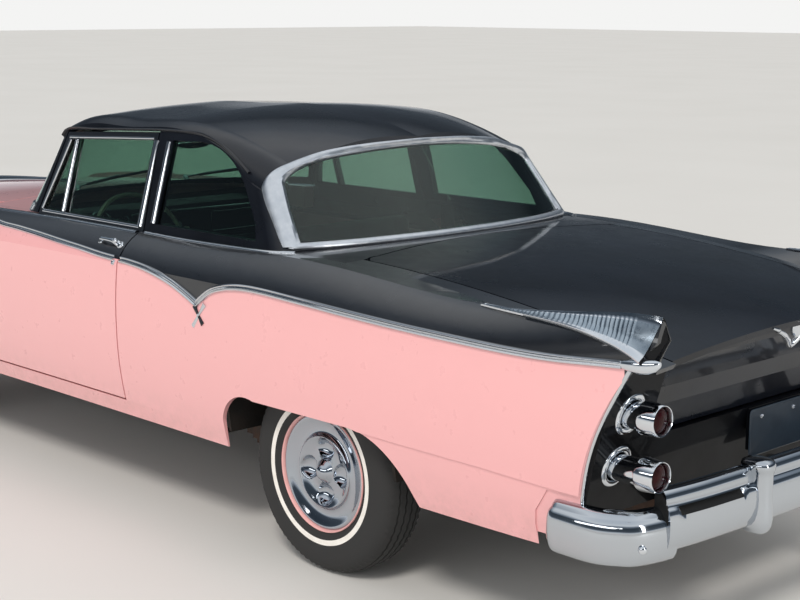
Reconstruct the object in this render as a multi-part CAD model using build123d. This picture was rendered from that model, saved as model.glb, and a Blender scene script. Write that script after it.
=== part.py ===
"""A two-door sedan of the middle 1950s, full size, in millimetres.

X runs forward, Y to the car's left and Z up. The origin is on the ground, at the
middle of the length and width. Each sub-part is written as one STEP file.
"""
from build123d import *
from math import asin, cos, hypot, radians, sin, sqrt
import os

# Overall sizes and axles
LENGTH = 5387.0
WIDTH = 1892.0
WHEELBASE = 3048.0
REAR_OVERHANG = 1463.0
TRACK = 1500.0
TYRE_RADIUS = 355.0
TYRE_WIDTH = 185.0
RIM_RADIUS = 192.0
RIM_WIDTH = 150.0

# Sheet and wall thicknesses
SKIN = 18.0
ROOF_WALL = 30.0
POST_WALL = 32.0
FRAME_WALL = 28.0
PLATE = 14.0
GLASS = 5.0

# Gaps between panels that move
SEAM = 7.0
BEARING_GAP = 0.3

# Heights of the body side
SILL_BOTTOM = 365.0
SILL_TOP = 427.0
SILL_REAR = -640.0
SILL_FRONT = 1390.0
DOOR_BOTTOM = SILL_TOP + SEAM
WAIST_Z = 720.0
BELT_Z = 1062.0
ROOF_FOOT_Z = 1067.0

# Door
DOOR_REAR = -172.0
DOOR_FRONT = 976.0
DOOR_INNER_Y = 825.0
BELT_INNER_Y = 747.0
DOOR_BEVEL = 0.12
FRAME_BEVEL = 0.25
FRAME_REAR = -138.0
FRAME_REAR_Y = 760.0

# Ladder frame
FRAME_END = 2440.0
RAIL_Y = 470.0
RAIL_HALF = 30.0
RAIL_LOW = 290.0
RAIL_DEEP = 76.0
FLOOR_Z = RAIL_LOW + RAIL_DEEP
TAIL_FLOOR_X = -2390.0

# Hood and trunk lid
HOOD_REAR = 1100.0
HOOD_FRONT = 2478.0
HOOD_HALF = 640.0
LID_FRONT = -1195.0
LID_CORNER_X = -1275.0
LID_HALF = 655.0
LID_BOTTOM = 702.0

# Ends of the body
TAIL_TOP_X = -2650.0
NOSE_X = 2590.0

# Wheel openings
ARCH_TOP = 577.0
FRONT_ARCH_TOP = 668.0

# Wheelhouses
TUB_HALF = 430.0
TUB_INNER_Y = 600.0
TUB_TOP = 770.0
APRON_RADIUS = 450.0
APRON_TOP = 815.0
APRON_INNER_Y = 506.0

# Stamped line behind the rear wheel, and the pocket for the bumper's end
CREASE_DEEP = 5.0
POCKET_DEEP = 10.0

# Headlamps and tail lamps. Columns of LAMPS: y, z
HEADLAMP_Y = 770.0
HEADLAMP_Z = 800.0
HEADLAMP_RADIUS = 102.0
LAMPS = ((776.0, 790.0), (776.0, 628.0))
LAMP_RADIUS = 48.0
LAMP_FACE = -2612.0

# Number plate's bracket
PLATE_BOLT_SPACING = 177.8
PLATE_BOLT_RADIUS = 3.5
PLATE_BOLT_Z = 660.0
BRACKET_X = -2475.0

# Bumpers
BUMPER_LOW = 400.0
BUMPER_HIGH = 585.0
WING_LOW = 370.0
WING_HIGH = 530.0
BUMPER_DEPTH = 42.0

# Transmission tunnel
TUNNEL_HALF = 150.0
TUNNEL_Z = 470.0

# Front suspension, rear axle and springs
KINGPIN_Y = 650.0
KINGPIN_RADIUS = 14.0
ARM_LOW = 262.0
ARM_HIGH = 455.0
HUB_RADIUS = 20.0
SPRING_Y = 560.0
SPRING_HALF = 640.0
SPRING_END_Z = 300.0
SHAFT_Z = 396.0

# Gearbox and exhaust
GEARBOX_X = 820.0
EXHAUST_Y = -360.0
EXHAUST_RADIUS = 25.0

# Steering wheel, column and dashboard
COLUMN_Y = 380.0
STEER_X = 430.0
STEER_Z = 925.0
STEER_TILT = 28.0
STEER_RING = 215.0
DASH_HALF = 684.0

REAR_AXLE_X = REAR_OVERHANG - LENGTH / 2
FRONT_AXLE_X = REAR_AXLE_X + WHEELBASE
WHEEL_Y = TRACK / 2

# Body sections. Columns: x, half width, shoulder z, crown y and z,
# valley y and z beside the crown, z on the centre line
STATIONS = (
    (-2730, 868, 935, 836, 1086, 735, 892, 925),
    (-2400, 914, 945, 838, 1078, 735, 950, 992),
    (-1950, 933, 955, 822, 1038, 730, 1018, 1050),
    (-1400, 936, 960, 812, 1064, 725, 1066, 1084),
    (-850, 933, 960, 806, 1072, 720, 1076, 1094),
    (-170, 930, 960, 805, 1066, 720, 1070, 1094),
    (650, 929, 955, 805, 1056, 720, 1060, 1084),
    (1200, 931, 945, 800, 1045, 690, 1046, 1082),
    (1900, 931, 925, 790, 1022, 660, 1004, 1044),
    (2400, 913, 900, 785, 990, 650, 955, 992),
    (2660, 880, 880, 780, 955, 640, 905, 930),
)

# Cabin outline in plan. Columns: x and y at the belt, x and y at the drip rail
CABIN_BELT_Z = 1060.0
CABIN_RAIL_Z = 1420.0
CABIN_PLAN = (
    (1030, 0, 745, 0),
    (975, 400, 706, 350),
    (800, 670, 610, 560),
    (735, 742, 575, 632),
    (625, 775, 490, 674),
    (-880, 775, -640, 674),
    (-955, 755, -715, 655),
    (-1000, 700, -760, 600),
    (-1105, 400, -822, 350),
    (-1155, 0, -858, 0),
)

# Roof crown. Columns: x, z on the centre line, z at the drip rail
ROOF = (
    (1060, 1262, 1160),
    (800, 1397, 1292),
    (640, 1458, 1326),
    (440, 1502, 1394),
    (100, 1514, 1407),
    (-200, 1525, 1416),
    (-500, 1506, 1378),
    (-780, 1450, 1294),
    (-1100, 1340, 1150),
    (-1190, 1304, 1104),
)

# Side view of the windshield pillar and the door's opening. Columns: x, z
PILLAR_FRONT = ((633.0, 1100.0), (541.0, 1376.0))
DRIP = ((508, 1409), (290, 1421), (80, 1432), (-140, 1443), (-300, 1448))
OPENING_FOOT = (614, 1062)


def box(x0, x1, y0, y1, z0, z1):
    """A box between two corners."""
    return Pos((x0 + x1) / 2, (y0 + y1) / 2, (z0 + z1) / 2) * Box(x1 - x0, y1 - y0, z1 - z0)


def wire(steps, place):
    """A closed wire. A step is an end point, or a through point and an end point."""
    start = place(*steps[0])
    here = start
    edges = []
    for step in steps[1:] + [steps[0]]:
        if len(step) == 4:
            end = place(step[2], step[3])
            edges.append(Edge.make_three_point_arc(here, place(step[0], step[1]), end))
        else:
            end = place(*step)
            edges.append(Edge.make_line(here, end))
        here = end
    return Wire(edges)


def prism_y(steps, y0, y1):
    """An outline in X and Z, extruded from y0 to y1."""
    face = Face(wire(steps, lambda a, b: Vector(a, y0, b)))
    return Solid.extrude(face, Vector(0, y1 - y0, 0))


def prism_x(steps, x0, x1):
    """An outline in Y and Z, extruded from x0 to x1."""
    face = Face(wire(steps, lambda a, b: Vector(x0, a, b)))
    return Solid.extrude(face, Vector(x1 - x0, 0, 0))


def prism_z(steps, z0, z1):
    """An outline in X and Y, extruded from z0 to z1."""
    face = Face(wire(steps, lambda a, b: Vector(a, b, z0)))
    return Solid.extrude(face, Vector(0, 0, z1 - z0))


def rod(start, end, radius):
    """A round bar between two points."""
    a, b = Vector(*start), Vector(*end)
    return Solid.make_cylinder(radius, (b - a).length, Plane(a, z_dir=b - a))


def turned_x(profile, x, y, z):
    """A round part on a line along X. The profile holds the distance along it and the radius."""
    face = Face(wire(profile, lambda a, r: Vector(x + a, y, z + r)))
    return Solid.revolve(face, 360, Axis((x, y, z), (1, 0, 0)))


def dome(a, r, rise):
    """The through point and the tip of a round cap, from an edge at (a, r) to the axis."""
    ball = (r * r + rise * rise) / (2 * abs(rise))
    turn = asin(r / ball) / 2
    way = 1 if rise > 0 else -1
    return (a + rise - way * ball * (1 - cos(turn)), ball * sin(turn), a + rise, 0)


def mirrored(shape):
    """The same shape on the other side of the car."""
    return mirror(shape, about=Plane.XZ)


def pair(shape):
    """A shape and its mirror image, as one compound or one joined solid."""
    return shape + mirrored(shape)


def bulged(a, b, rise):
    """The middle of the chord from a to b, pushed out to its right by rise."""
    dy, dz = b[0] - a[0], b[1] - a[1]
    span = sqrt(dy * dy + dz * dz)
    return ((a[0] + b[0]) / 2 + dz / span * rise, (a[1] + b[1]) / 2 - dy / span * rise)


def body_section(row, inset, bottom):
    """Half of the body's cross section at one station, drawn in by an inset."""
    x, half, shoulder_z, crown_y, crown_z, valley_y, valley_z, centre_z = row
    low = (half - 55 - inset, bottom)
    tuck = (half - 18 - inset, 520)
    waist = (half - inset, WAIST_Z)
    shoulder = (half - 12 - inset, shoulder_z - 0.2 * inset)
    crown = (crown_y - 0.5 * inset, crown_z - 1.1 * inset)
    valley = (valley_y, valley_z - inset)
    centre = (0, centre_z - inset)
    middle = (0.5 * valley_y, valley_z + 0.75 * (centre_z - valley_z) - inset)
    steps = [
        (0, bottom),
        low,
        tuck + waist,
        bulged(waist, shoulder, 5) + shoulder,
        bulged(shoulder, crown, 14) + crown,
        valley,
        middle + centre,
    ]
    return wire(steps, lambda a, b: Vector(x, a, b))


def body_half(inset=0.0, bottom=SILL_BOTTOM):
    """The left half of the whole lower body as one solid."""
    return Solid.make_loft([body_section(row, inset, bottom) for row in STATIONS])


def cabin_outline(z, inset):
    """Half of the cabin's plan at a height, drawn in by an inset."""
    share = (z - CABIN_BELT_Z) / (CABIN_RAIL_Z - CABIN_BELT_Z)
    pts = [(x0 + share * (x1 - x0), y0 + share * (y1 - y0)) for x0, y0, x1, y1 in CABIN_PLAN]
    ends = [(pts[0][0], -pts[1][1])] + pts + [(pts[-1][0], -pts[-2][1])]
    drawn = []
    for before, (x, y), after in zip(ends, pts, ends[2:]):
        dx, dy = after[0] - before[0], after[1] - before[1]
        if y == 0:
            dx = 0.0
        span = hypot(dx, dy)
        drawn.append((x - inset * dy / span, y + inset * dx / span))
    front, front_mid, front_side, corner, side_front, side_rear, corner2, rear_side, rear_mid, rear = drawn
    steps = [front, front_mid + front_side, corner + side_front, side_rear,
             corner2 + rear_side, rear_mid + rear]
    return wire(steps, lambda a, b: Vector(a, b, z))


def cabin_half(inset=0.0, drop=0.0, bottom=1040.0):
    """The left half of the cabin above the belt as one solid, under the roof's crown."""
    sides = Solid.make_loft([cabin_outline(z, inset) for z in (bottom, 1600.0)], True)
    sections = []
    for x, centre_z, rail_z in ROOF:
        steps = [
            (0, 1000),
            (900, 1000),
            (900, rail_z - 60 - drop),
            (705, rail_z - 20 - drop),
            (672, rail_z + 34 - drop, 590, rail_z + 70 - drop),
            (300, centre_z - 13 - drop, 0, centre_z - drop),
        ]
        sections.append(wire(steps, lambda a, b, x=x: Vector(x, a, b)))
    return sides & Solid.make_loft(sections)


def tail_profile():
    """The rear end in side view: everything forward of the slanted tail."""
    return prism_y([
        (3000, 300),
        (-2415, 300),
        (-2418, 560),
        (-2475, 760, TAIL_TOP_X + 60, 962),
        (TAIL_TOP_X, 1030),
        (TAIL_TOP_X, 1200),
        (3000, 1200),
    ], -1, 1000)


def nose_profile():
    """The front end in side view: everything behind the leaning nose."""
    return prism_y([
        (-3000, 300),
        (NOSE_X - 70, 300),
        (NOSE_X - 50, 640),
        (NOSE_X - 10, 900),
        (NOSE_X, 1200),
        (-3000, 1200),
    ], -1, 1000)


def rear_arch():
    """The rear wheel opening, straight at its front and sloping at its back."""
    x = REAR_AXLE_X
    return prism_y([
        (x + 446, 300),
        (x + 440, 470),
        (x + 394, 542, x + 250, ARCH_TOP - 3),
        (x - 220, ARCH_TOP),
        (x - 360, ARCH_TOP - 30, x - 490, 430),
        (x - 560, 300),
    ], 800, 1000)


def front_arch():
    """The front wheel opening, rounder and higher than the rear one."""
    x = FRONT_AXLE_X
    return prism_y([
        (x + 440, 300),
        (x + 425, 470),
        (x + 370, 622, x + 210, FRONT_ARCH_TOP),
        (x - 210, FRONT_ARCH_TOP),
        (x - 370, 622, x - 425, 470),
        (x - 440, 300),
    ], 800, 1000)


def behind_seam(x, y, bevel, z0, z1, gap=0.0):
    """The space behind the door's rear seam, a plane that leans forward going inward."""
    far = 600.0
    return prism_z([
        (x - gap - bevel * (1000 - y), 1000),
        (x - gap + bevel * far, y - far),
        (-3000, y - far),
        (-3000, 1000),
    ], z0, z1)


OUTER = body_half() & tail_profile() & nose_profile()
HOLLOW = body_half(SKIN, SILL_BOTTOM - 60)
SHELL = OUTER - HOLLOW
CABIN = cabin_half()
CABIN_SHELL = CABIN - cabin_half(POST_WALL, ROOF_WALL)
GLASS_SHELL = cabin_half(10.0) - cabin_half(10.0 + GLASS)
GLASS_SHELL = GLASS_SHELL & box(-1500, 1500, -1, 900, 1060, 1500)

(PILLAR_LOW_X, PILLAR_LOW_Z), (PILLAR_HIGH_X, PILLAR_HIGH_Z) = PILLAR_FRONT
WINDSHIELD_HOLE = prism_y([
    (1300, PILLAR_LOW_Z), (PILLAR_LOW_X + 26, PILLAR_LOW_Z),
    (PILLAR_LOW_X + 4, PILLAR_LOW_Z + 6, PILLAR_LOW_X - 8, PILLAR_LOW_Z + 24),
    (PILLAR_HIGH_X, PILLAR_HIGH_Z), (1300, PILLAR_HIGH_Z + 4),
], -1, 1000)
BACKLIGHT_HOLE = prism_x([
    (-1, 1104), (672, 1104), (692, 1109, 692, 1132), (655, 1286),
    (636, 1319, 596, 1339), (330, 1394, -1, 1407),
], -1300, -640)
DOOR_HOLE = prism_y([(OPENING_FOOT[0], 1000), OPENING_FOOT] + list(DRIP) + [(-300, 1000)], 500, 1000)
QUARTER_HOLE = prism_y([
    (-212, 1098), (-212, 1412), (-330, 1413), (-560, 1378, -700, 1272), (-790, 1160), (-812, 1098),
], 500, 1000)
JAMB_LOWER = (DOOR_REAR, 930.0, DOOR_BEVEL)
JAMB_UPPER = (FRAME_REAR, FRAME_REAR_Y, FRAME_BEVEL)


def quarter():
    """The left rear fender, from the door's rear seam to the tail, with its wheelhouse."""
    post = OUTER & box(-250, -60, DOOR_INNER_Y, 1000, SILL_TOP, BELT_Z)
    skin = (SHELL + post) & behind_seam(*JAMB_LOWER, 300, 1200, SEAM)
    skin -= box(-1262, 0, -1, 742, 990, 1200)
    skin -= box(-3000, -1262, -1, LID_HALF + SEAM, 300, 1200)
    skin -= rear_arch()
    skin -= box(SILL_REAR, 0, -1, 1000, 300, SILL_TOP)
    skin -= (OUTER - body_half(CREASE_DEEP)) & prism_y([
        (-1500, 572), (-2060, 568), (-2290, 560), (-2700, 545), (-2700, 300), (-1500, 300),
    ], 700, 1000)
    skin -= (OUTER - body_half(POCKET_DEEP)) & prism_y([
        (-2302, 552), (-2278, 515), (-2251, 477), (-2243, 430), (-2243, 300), (-2700, 300), (-2700, 552),
    ], 700, 1000)
    return skin


def wheelhouse():
    """The sheet over the left wheels: a tub at the back, an arched apron at the front."""
    x, wall = REAR_AXLE_X, 12.0
    tub = box(x - TUB_HALF, x + TUB_HALF, TUB_INNER_Y, WIDTH / 2, SILL_TOP, TUB_TOP)
    tub -= box(x - TUB_HALF + wall, x + TUB_HALF - wall, TUB_INNER_Y + wall, WIDTH, 300, TUB_TOP - wall)
    x = FRONT_AXLE_X
    apron = prism_y([
        (x + APRON_RADIUS, SILL_TOP + 3), (x, APRON_TOP, x - APRON_RADIUS, SILL_TOP + 3),
        (x - APRON_RADIUS + wall, SILL_TOP + 3),
        (x, APRON_TOP - wall, x + APRON_RADIUS - wall, SILL_TOP + 3),
    ], APRON_INNER_Y, WIDTH / 2)
    return Compound([tub & HOLLOW, apron & HOLLOW])


def rocker():
    """The left sill under the door, from wheel opening to wheel opening."""
    sill = OUTER & box(SILL_REAR, SILL_FRONT, 800, 1000, 300, SILL_TOP)
    return sill - front_arch()


def fender():
    """The left front fender with the headlamp's housing and its hinge post."""
    wall = OUTER & box(DOOR_FRONT + 9, DOOR_FRONT + 60, DOOR_INNER_Y, 1000, SILL_TOP, BELT_Z - 6)
    face = OUTER & box(NOSE_X - 130, NOSE_X, HOOD_HALF + SEAM, 1000, 520, 1200)
    skin = (SHELL & box(DOOR_FRONT + 9, 3000, HOOD_HALF + SEAM, 1000, 300, 1200)) + wall + face
    skin -= box(0, HOOD_REAR + SEAM, -1, 742, 300, 1200)
    skin -= front_arch()
    skin -= box(0, SILL_FRONT, -1, 1000, 300, SILL_TOP)
    skin -= headlamp_bore(HEADLAMP_RADIUS)
    return skin


def headlamp_bore(radius):
    """The round hole that the headlamp sits in."""
    return rod((NOSE_X - 90, HEADLAMP_Y, HEADLAMP_Z), (NOSE_X + 60, HEADLAMP_Y, HEADLAMP_Z), radius)


def headlamp():
    """A round lamp with its rim and a domed lens."""
    return turned_x([
        (0, 0), (0, HEADLAMP_RADIUS), (60, HEADLAMP_RADIUS),
        (74, HEADLAMP_RADIUS - 4), (80, 88), dome(80, 88, 26),
    ], NOSE_X - 90, HEADLAMP_Y, HEADLAMP_Z)


def door():
    """The left door with its window frame and vent window bar."""
    side = prism_x([
        (1000, DOOR_BOTTOM), (DOOR_INNER_Y, DOOR_BOTTOM), (DOOR_INNER_Y, 930),
        (BELT_INNER_Y, 1000), (BELT_INNER_Y, 1200), (1000, 1200),
    ], -400, DOOR_FRONT)
    panel = OUTER & side & box(-400, DOOR_FRONT, 700, 1000, DOOR_BOTTOM, BELT_Z)
    panel -= behind_seam(*JAMB_LOWER, 300, 1200)
    frame = CABIN - cabin_half(FRAME_WALL)
    frame = frame & prism_y(
        [(OPENING_FOOT[0] - SEAM - 2, 1050), (OPENING_FOOT[0] - SEAM - 2, BELT_Z)]
        + [(x - SEAM if x == DRIP[0][0] else x, z - SEAM) for x, z in DRIP] + [(-300, 1050)],
        500, 1000,
    )
    frame -= behind_seam(*JAMB_UPPER, 1000, 1500)
    frame -= door_light(front=True) + door_light(front=False)
    return panel + frame


def door_light(front):
    """A glazed opening in the door's window frame: the vent, or the drop window."""
    if front:
        steps = [(574, 1086), (469, 1374), (439, 1376), (434, 1086)]
    else:
        steps = [(412, 1086), (417, 1378), (-80, 1404), (-92, 1400), (-92, 1086)]
    return prism_y(steps, 500, 1000)


def door_glass():
    """The vent pane and the drop window of the left door."""
    return GLASS_SHELL & (door_light(True) + door_light(False))


def roof():
    """The roof with its windshield, middle and rear pillars."""
    shell = (CABIN_SHELL & box(-1400, 1400, -1, 1000, ROOF_FOOT_Z, 1600)) - OUTER
    shell -= DOOR_HOLE - behind_seam(*JAMB_UPPER, 900, 1600, SEAM)
    shell -= QUARTER_HOLE
    shell -= WINDSHIELD_HOLE
    shell -= BACKLIGHT_HOLE
    return pair(shell)


def deck_panel():
    """The fixed panel between rear window and trunk lid, with the shelf behind the seat."""
    top = SHELL & box(-1500, -900, -1, 1000, 980, 1200)
    top = top & box(-1262, -990, -1, 742, 980, 1200)
    top -= lid_outline(SEAM)
    shelf = box(-1262, -990, -1, 742, 1020, 1034)
    shelf = shelf & OUTER
    rim = box(-1004, -990, -1, 742, 1020, 1070)
    return pair(top + shelf + rim)


def lid_outline(grow):
    """The trunk lid in plan, its front edge bowed, grown by a gap."""
    corner = LID_HALF + grow
    return prism_z([
        (-3000, -1),
        (-3000, corner),
        (LID_CORNER_X - 60 + grow, corner),
        (LID_CORNER_X + grow, corner - 12, LID_CORNER_X + 20 + grow, corner - 75),
        (LID_FRONT - 20 + grow, 330, LID_FRONT + grow, -1),
    ], 400, 1300)


def trunk_lid():
    """The trunk lid: the deck's skin and the face that folds down to the plate."""
    top = SHELL & lid_outline(0.0) & box(-2700, -1000, -1, 1000, 860, 1200)
    top = top & box(-2548, 0, -1, 1000, 900, 1200)
    back = OUTER & lid_outline(0.0) & rear_face(LID_BOTTOM)
    return pair(top + back)


def rear_face(bottom):
    """The lid's slanted plate that folds down from the deck's edge."""
    return prism_y([
        (-2472, bottom), (-2498, 845), (-2535, 925),
        (-2548, 1000), (-2520, 1000), (-2505, 905),
        (-2474, 845), (-2448, bottom),
    ], -1, 1000)


def tail_panel():
    """The dark panel around the tail lamps and under the trunk lid."""
    plate = prism_y([
        (-2545, 945), (-2500, 800), (-2455, 640), (-2430, 540), (-2412, 470),
        (-2390, 470), (-2408, 540), (-2433, 640), (-2478, 800), (-2520, 945),
    ], -1, 1000)
    plate = plate & HOLLOW
    plate -= box(-3000, 0, -1, LID_HALF + SEAM, LID_BOTTOM - SEAM, 1200)
    for y, z in LAMPS:
        plate -= rod((-2700, y, z), (-2300, y, z), LAMP_RADIUS)
    plate += box(BRACKET_X, BRACKET_X + 8, -1, 150, 560, LID_BOTTOM - 10)
    plate += box(BRACKET_X + 4, BRACKET_X + 50, -1, 40, 580, 640)
    bolt_y = PLATE_BOLT_SPACING / 2
    plate -= rod((BRACKET_X - 5, bolt_y, PLATE_BOLT_Z), (BRACKET_X + 30, bolt_y, PLATE_BOLT_Z), PLATE_BOLT_RADIUS)
    return pair(plate)


def tail_lamps():
    """Two stacked round lamps on each side, each a barrel with a domed lens."""
    lamps = []
    for y, z in LAMPS:
        lamp = turned_x([
            (150, 0), (150, LAMP_RADIUS), (14, LAMP_RADIUS), (8, LAMP_RADIUS - 6), dome(8, LAMP_RADIUS - 6, -8),
        ], LAMP_FACE, y, z)
        lamps += [lamp, mirrored(lamp)]
    return Compound(lamps)


def hood():
    """The hood: the skin between the fenders, rolled down at its front."""
    top = SHELL & box(HOOD_REAR, HOOD_FRONT, -1, HOOD_HALF, 850, 1200)
    lip = OUTER & box(HOOD_FRONT - 26, HOOD_FRONT, -1, HOOD_HALF, 870, 1200)
    return pair(top + lip)


def front_panel():
    """The painted panel around the grille, between the fenders."""
    x0, x1 = HOOD_FRONT - 30, HOOD_FRONT + 20
    panel = box(x0, x1, -1, HOOD_HALF + SEAM, 480, 858)
    panel += OUTER & box(HOOD_FRONT + 14, NOSE_X - 40, -1, HOOD_HALF + SEAM, 820, 1200)
    panel += box(HOOD_FRONT - 20, HOOD_FRONT + 40, -1, HOOD_HALF + SEAM, 820, 850)
    panel -= box(x0 - 50, x1 + 50, -1, 600, 540, 800)
    return pair(panel)


def grille():
    """A split grille: a wing each side of a divider, with bars across."""
    x = HOOD_FRONT - 10
    rim = box(x - 14, x + 34, 20, 600, 540, 800) - box(x - 30, x + 50, 52, 572, 566, 774)
    divider = box(x - 14, x + 50, -1, 44, 540, 800)
    bars = [box(x - 4, x + 26, 40, 590, z - 9, z + 9) for z in (620, 670, 720)]
    lamp = rod((x - 4, 520, 670), (x + 40, 520, 670), 52)
    whole = rim + divider + lamp
    for bar in bars:
        whole += bar
    return pair(whole)


def cowl():
    """The cowl under the windshield with the firewall."""
    top = SHELL & box(OPENING_FOOT[0], HOOD_REAR - SEAM, -1, 742, 980, 1200)
    top -= cabin_half(POST_WALL, 0.0, 1000.0)
    wall = box(HOOD_REAR - 30, HOOD_REAR - 16, -1, 742, FLOOR_Z + PLATE, 1010)
    wall = wall + (OUTER & box(HOOD_REAR - 30, HOOD_REAR - 16, -1, 742, 980, 1090))
    foot = OUTER & box(OPENING_FOOT[0], HOOD_REAR - 20, 690, 742, 960, 1090)
    wall -= box(1000, HOOD_REAR, -1, TUNNEL_HALF, 300, TUNNEL_Z)
    return pair(top + wall + foot)


def floor_pan():
    """The floor, raised over the rear axle, with the tunnel and the trunk's floor."""
    half = [
        (HOOD_REAR - 16, FLOOR_Z + PLATE), (HOOD_REAR - 16, FLOOR_Z), (-640, FLOOR_Z),
        (-760, 560), (-1640, 560), (-1720, 470), (TAIL_FLOOR_X, 470), (TAIL_FLOOR_X, 484),
        (-1712, 484), (-1634, 574), (-768, 574), (-648, FLOOR_Z + PLATE),
    ]
    pan = prism_y([(x, z) for x, z in half], -1, 590)
    side = box(-640, HOOD_REAR - 16, 580, 800, FLOOR_Z, FLOOR_Z + PLATE)
    tunnel = box(-640, HOOD_REAR - 16, -1, TUNNEL_HALF, FLOOR_Z, TUNNEL_Z)
    pan = pan + side + tunnel - box(-800, HOOD_REAR, -1, TUNNEL_HALF - PLATE, 200, TUNNEL_Z - PLATE)
    return pair(pan)


def windshield():
    """The wrapped windshield glass."""
    return pair(GLASS_SHELL & WINDSHIELD_HOLE)


def backlight():
    """The wrapped rear window glass."""
    return pair(GLASS_SHELL & BACKLIGHT_HOLE)


def quarter_glass():
    """The fixed panes behind the doors."""
    pane = GLASS_SHELL & QUARTER_HOLE
    return Compound([pane, mirrored(pane)])


def fin_trim():
    """The bright caps along the tops of the rear fenders."""
    cap = prism_y([
        (-1985, 1046), (-2226, 1072), (-2646, 1092), (-2646, 990),
        (-2560, 1010), (-2400, 1034), (-2200, 1046),
    ], 600, 1000)
    skin = body_half(-6.0) - body_half(-1.0)
    cap = cap & skin & box(-2640, -1985, 832, 1000, 900, 1200)
    return Compound([cap, mirrored(cap)])


def bumper(end, reach):
    """A bumper in plan: a bowed bar, wings round the corners, guards and brackets."""
    tip = LENGTH / 2
    half = WIDTH / 2

    def bar(inset, z0, z1):
        return prism_z([
            (end * (tip - inset), -1),
            (end * (tip - 11 - inset), 420, end * (tip - 34 - inset), 744),
            (end * (tip - 92 - inset), half - 42 - inset * 0.6, end * (tip - 200 - inset * 0.6), half - inset * 0.6),
            (end * (tip - reach), half - 6 - inset * 0.6),
            (end * (tip - reach), -1),
        ], z0, z1)

    centre = bar(0, BUMPER_LOW, BUMPER_HIGH) & box(-3000, 3000, -1, 752, 0, 2000)
    wing = bar(6, WING_LOW, WING_HIGH) & box(-3000, 3000, 700, 1000, 0, 2000)
    blade = centre + wing - bar(BUMPER_DEPTH, 0, 2000)
    guard = rod((end * (tip - 34), 340, BUMPER_LOW - 6), (end * (tip - 34), 340, BUMPER_HIGH + 24), 33)
    inner = sorted((end * (tip - BUMPER_DEPTH - 4), end * FRAME_END))
    bracket = box(inner[0], inner[1], RAIL_Y - 30, RAIL_Y + 30, RAIL_LOW + 130, RAIL_LOW + 190)
    return pair(blade + guard + bracket)


def chassis():
    """The ladder frame: two rails that rise over the axles, and cross members."""
    arch = 440.0
    line = [
        (FRAME_END, RAIL_LOW + 120), (FRONT_AXLE_X + 420, RAIL_LOW + 90),
        (FRONT_AXLE_X - 460, RAIL_LOW + 90), (FRONT_AXLE_X - 640, RAIL_LOW),
        (REAR_AXLE_X + 520, RAIL_LOW), (REAR_AXLE_X + 300, arch),
        (REAR_AXLE_X - 300, arch), (REAR_AXLE_X - 500, 385), (-FRAME_END, 385),
    ]
    low = [(x, z) for x, z in line]
    high = [(x, z + RAIL_DEEP) for x, z in reversed(line)]
    rail = prism_y(low + high, RAIL_Y - RAIL_HALF, RAIL_Y + RAIL_HALF)
    cross = []
    for x, z in ((2300, 400), (FRONT_AXLE_X, 308), (900, 262), (-420, 262), (-1900, 390), (-2380, 390)):
        cross.append(box(x - 40, x + 40, -1, RAIL_Y, z, z + 60))
    frame = rail
    for member in cross:
        frame += member
    for x, z in ((REAR_AXLE_X + SPRING_HALF, FLOOR_Z), (REAR_AXLE_X - SPRING_HALF, 440)):
        frame += box(x - 25, x + 25, RAIL_Y, SPRING_Y + 30, SPRING_END_Z, z)
    frame += suspension_arms()
    frame -= exhaust_path(EXHAUST_RADIUS + 8)
    return pair(frame) - exhaust_path(EXHAUST_RADIUS + 8)


def suspension_arms():
    """The two arms that carry the left front knuckle."""
    x = FRONT_AXLE_X
    arms = None
    for z in (ARM_LOW, ARM_HIGH):
        arm = prism_z([
            (x - 150, RAIL_Y), (x - 30, KINGPIN_Y - 20), (x - 24, KINGPIN_Y + 18, x, KINGPIN_Y + 30),
            (x + 24, KINGPIN_Y + 18, x + 30, KINGPIN_Y - 20), (x + 150, RAIL_Y),
        ], z - 14, z + 14)
        arm -= rod((x, KINGPIN_Y, z - 40), (x, KINGPIN_Y, z + 40), KINGPIN_RADIUS + BEARING_GAP)
        arms = arm if arms is None else arms + arm
    tower = box(x - 150, x + 150, RAIL_Y - RAIL_HALF, RAIL_Y + RAIL_HALF - 4, ARM_LOW - 14, ARM_HIGH + 14)
    return arms + tower


def knuckle():
    """The left steering knuckle: kingpin, upright and stub axle."""
    x, z = FRONT_AXLE_X, TYRE_RADIUS
    pin = rod((x, KINGPIN_Y, ARM_LOW - 22), (x, KINGPIN_Y, ARM_HIGH + 22), KINGPIN_RADIUS)
    upright = rod((x, KINGPIN_Y, ARM_LOW + 20), (x, KINGPIN_Y, ARM_HIGH - 20), 26)
    stub = rod((x, KINGPIN_Y, z), (x, WHEEL_Y + 10, z), HUB_RADIUS)
    return pin + upright + stub


def rear_axle():
    """The rear axle with its differential, leaf springs and propeller shaft."""
    x, z = REAR_AXLE_X, TYRE_RADIUS
    tube = rod((x, 0, z), (x, 660, z), 40) + rod((x, 600, z), (x, WHEEL_Y + 10, z), HUB_RADIUS)
    housing = Pos(x, 0, z) * Sphere(135)
    housing = housing & box(x - 200, x + 200, -1, 200, 0, 1000)
    spring = prism_y([
        (x - SPRING_HALF, SPRING_END_Z), (x, z - 60, x + SPRING_HALF, SPRING_END_Z),
        (x + SPRING_HALF, SPRING_END_Z - 14), (x, z - 92, x - SPRING_HALF, SPRING_END_Z - 14),
    ], SPRING_Y - 30, SPRING_Y + 30)
    seat = box(x - 60, x + 60, SPRING_Y - 30, SPRING_Y + 30, z - 84, z - 20)
    half = tube + housing + spring + seat
    shaft = rod((x + 100, 0, z), (GEARBOX_X - 3, 0, SHAFT_Z), 36)
    return pair(half) + shaft


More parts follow.
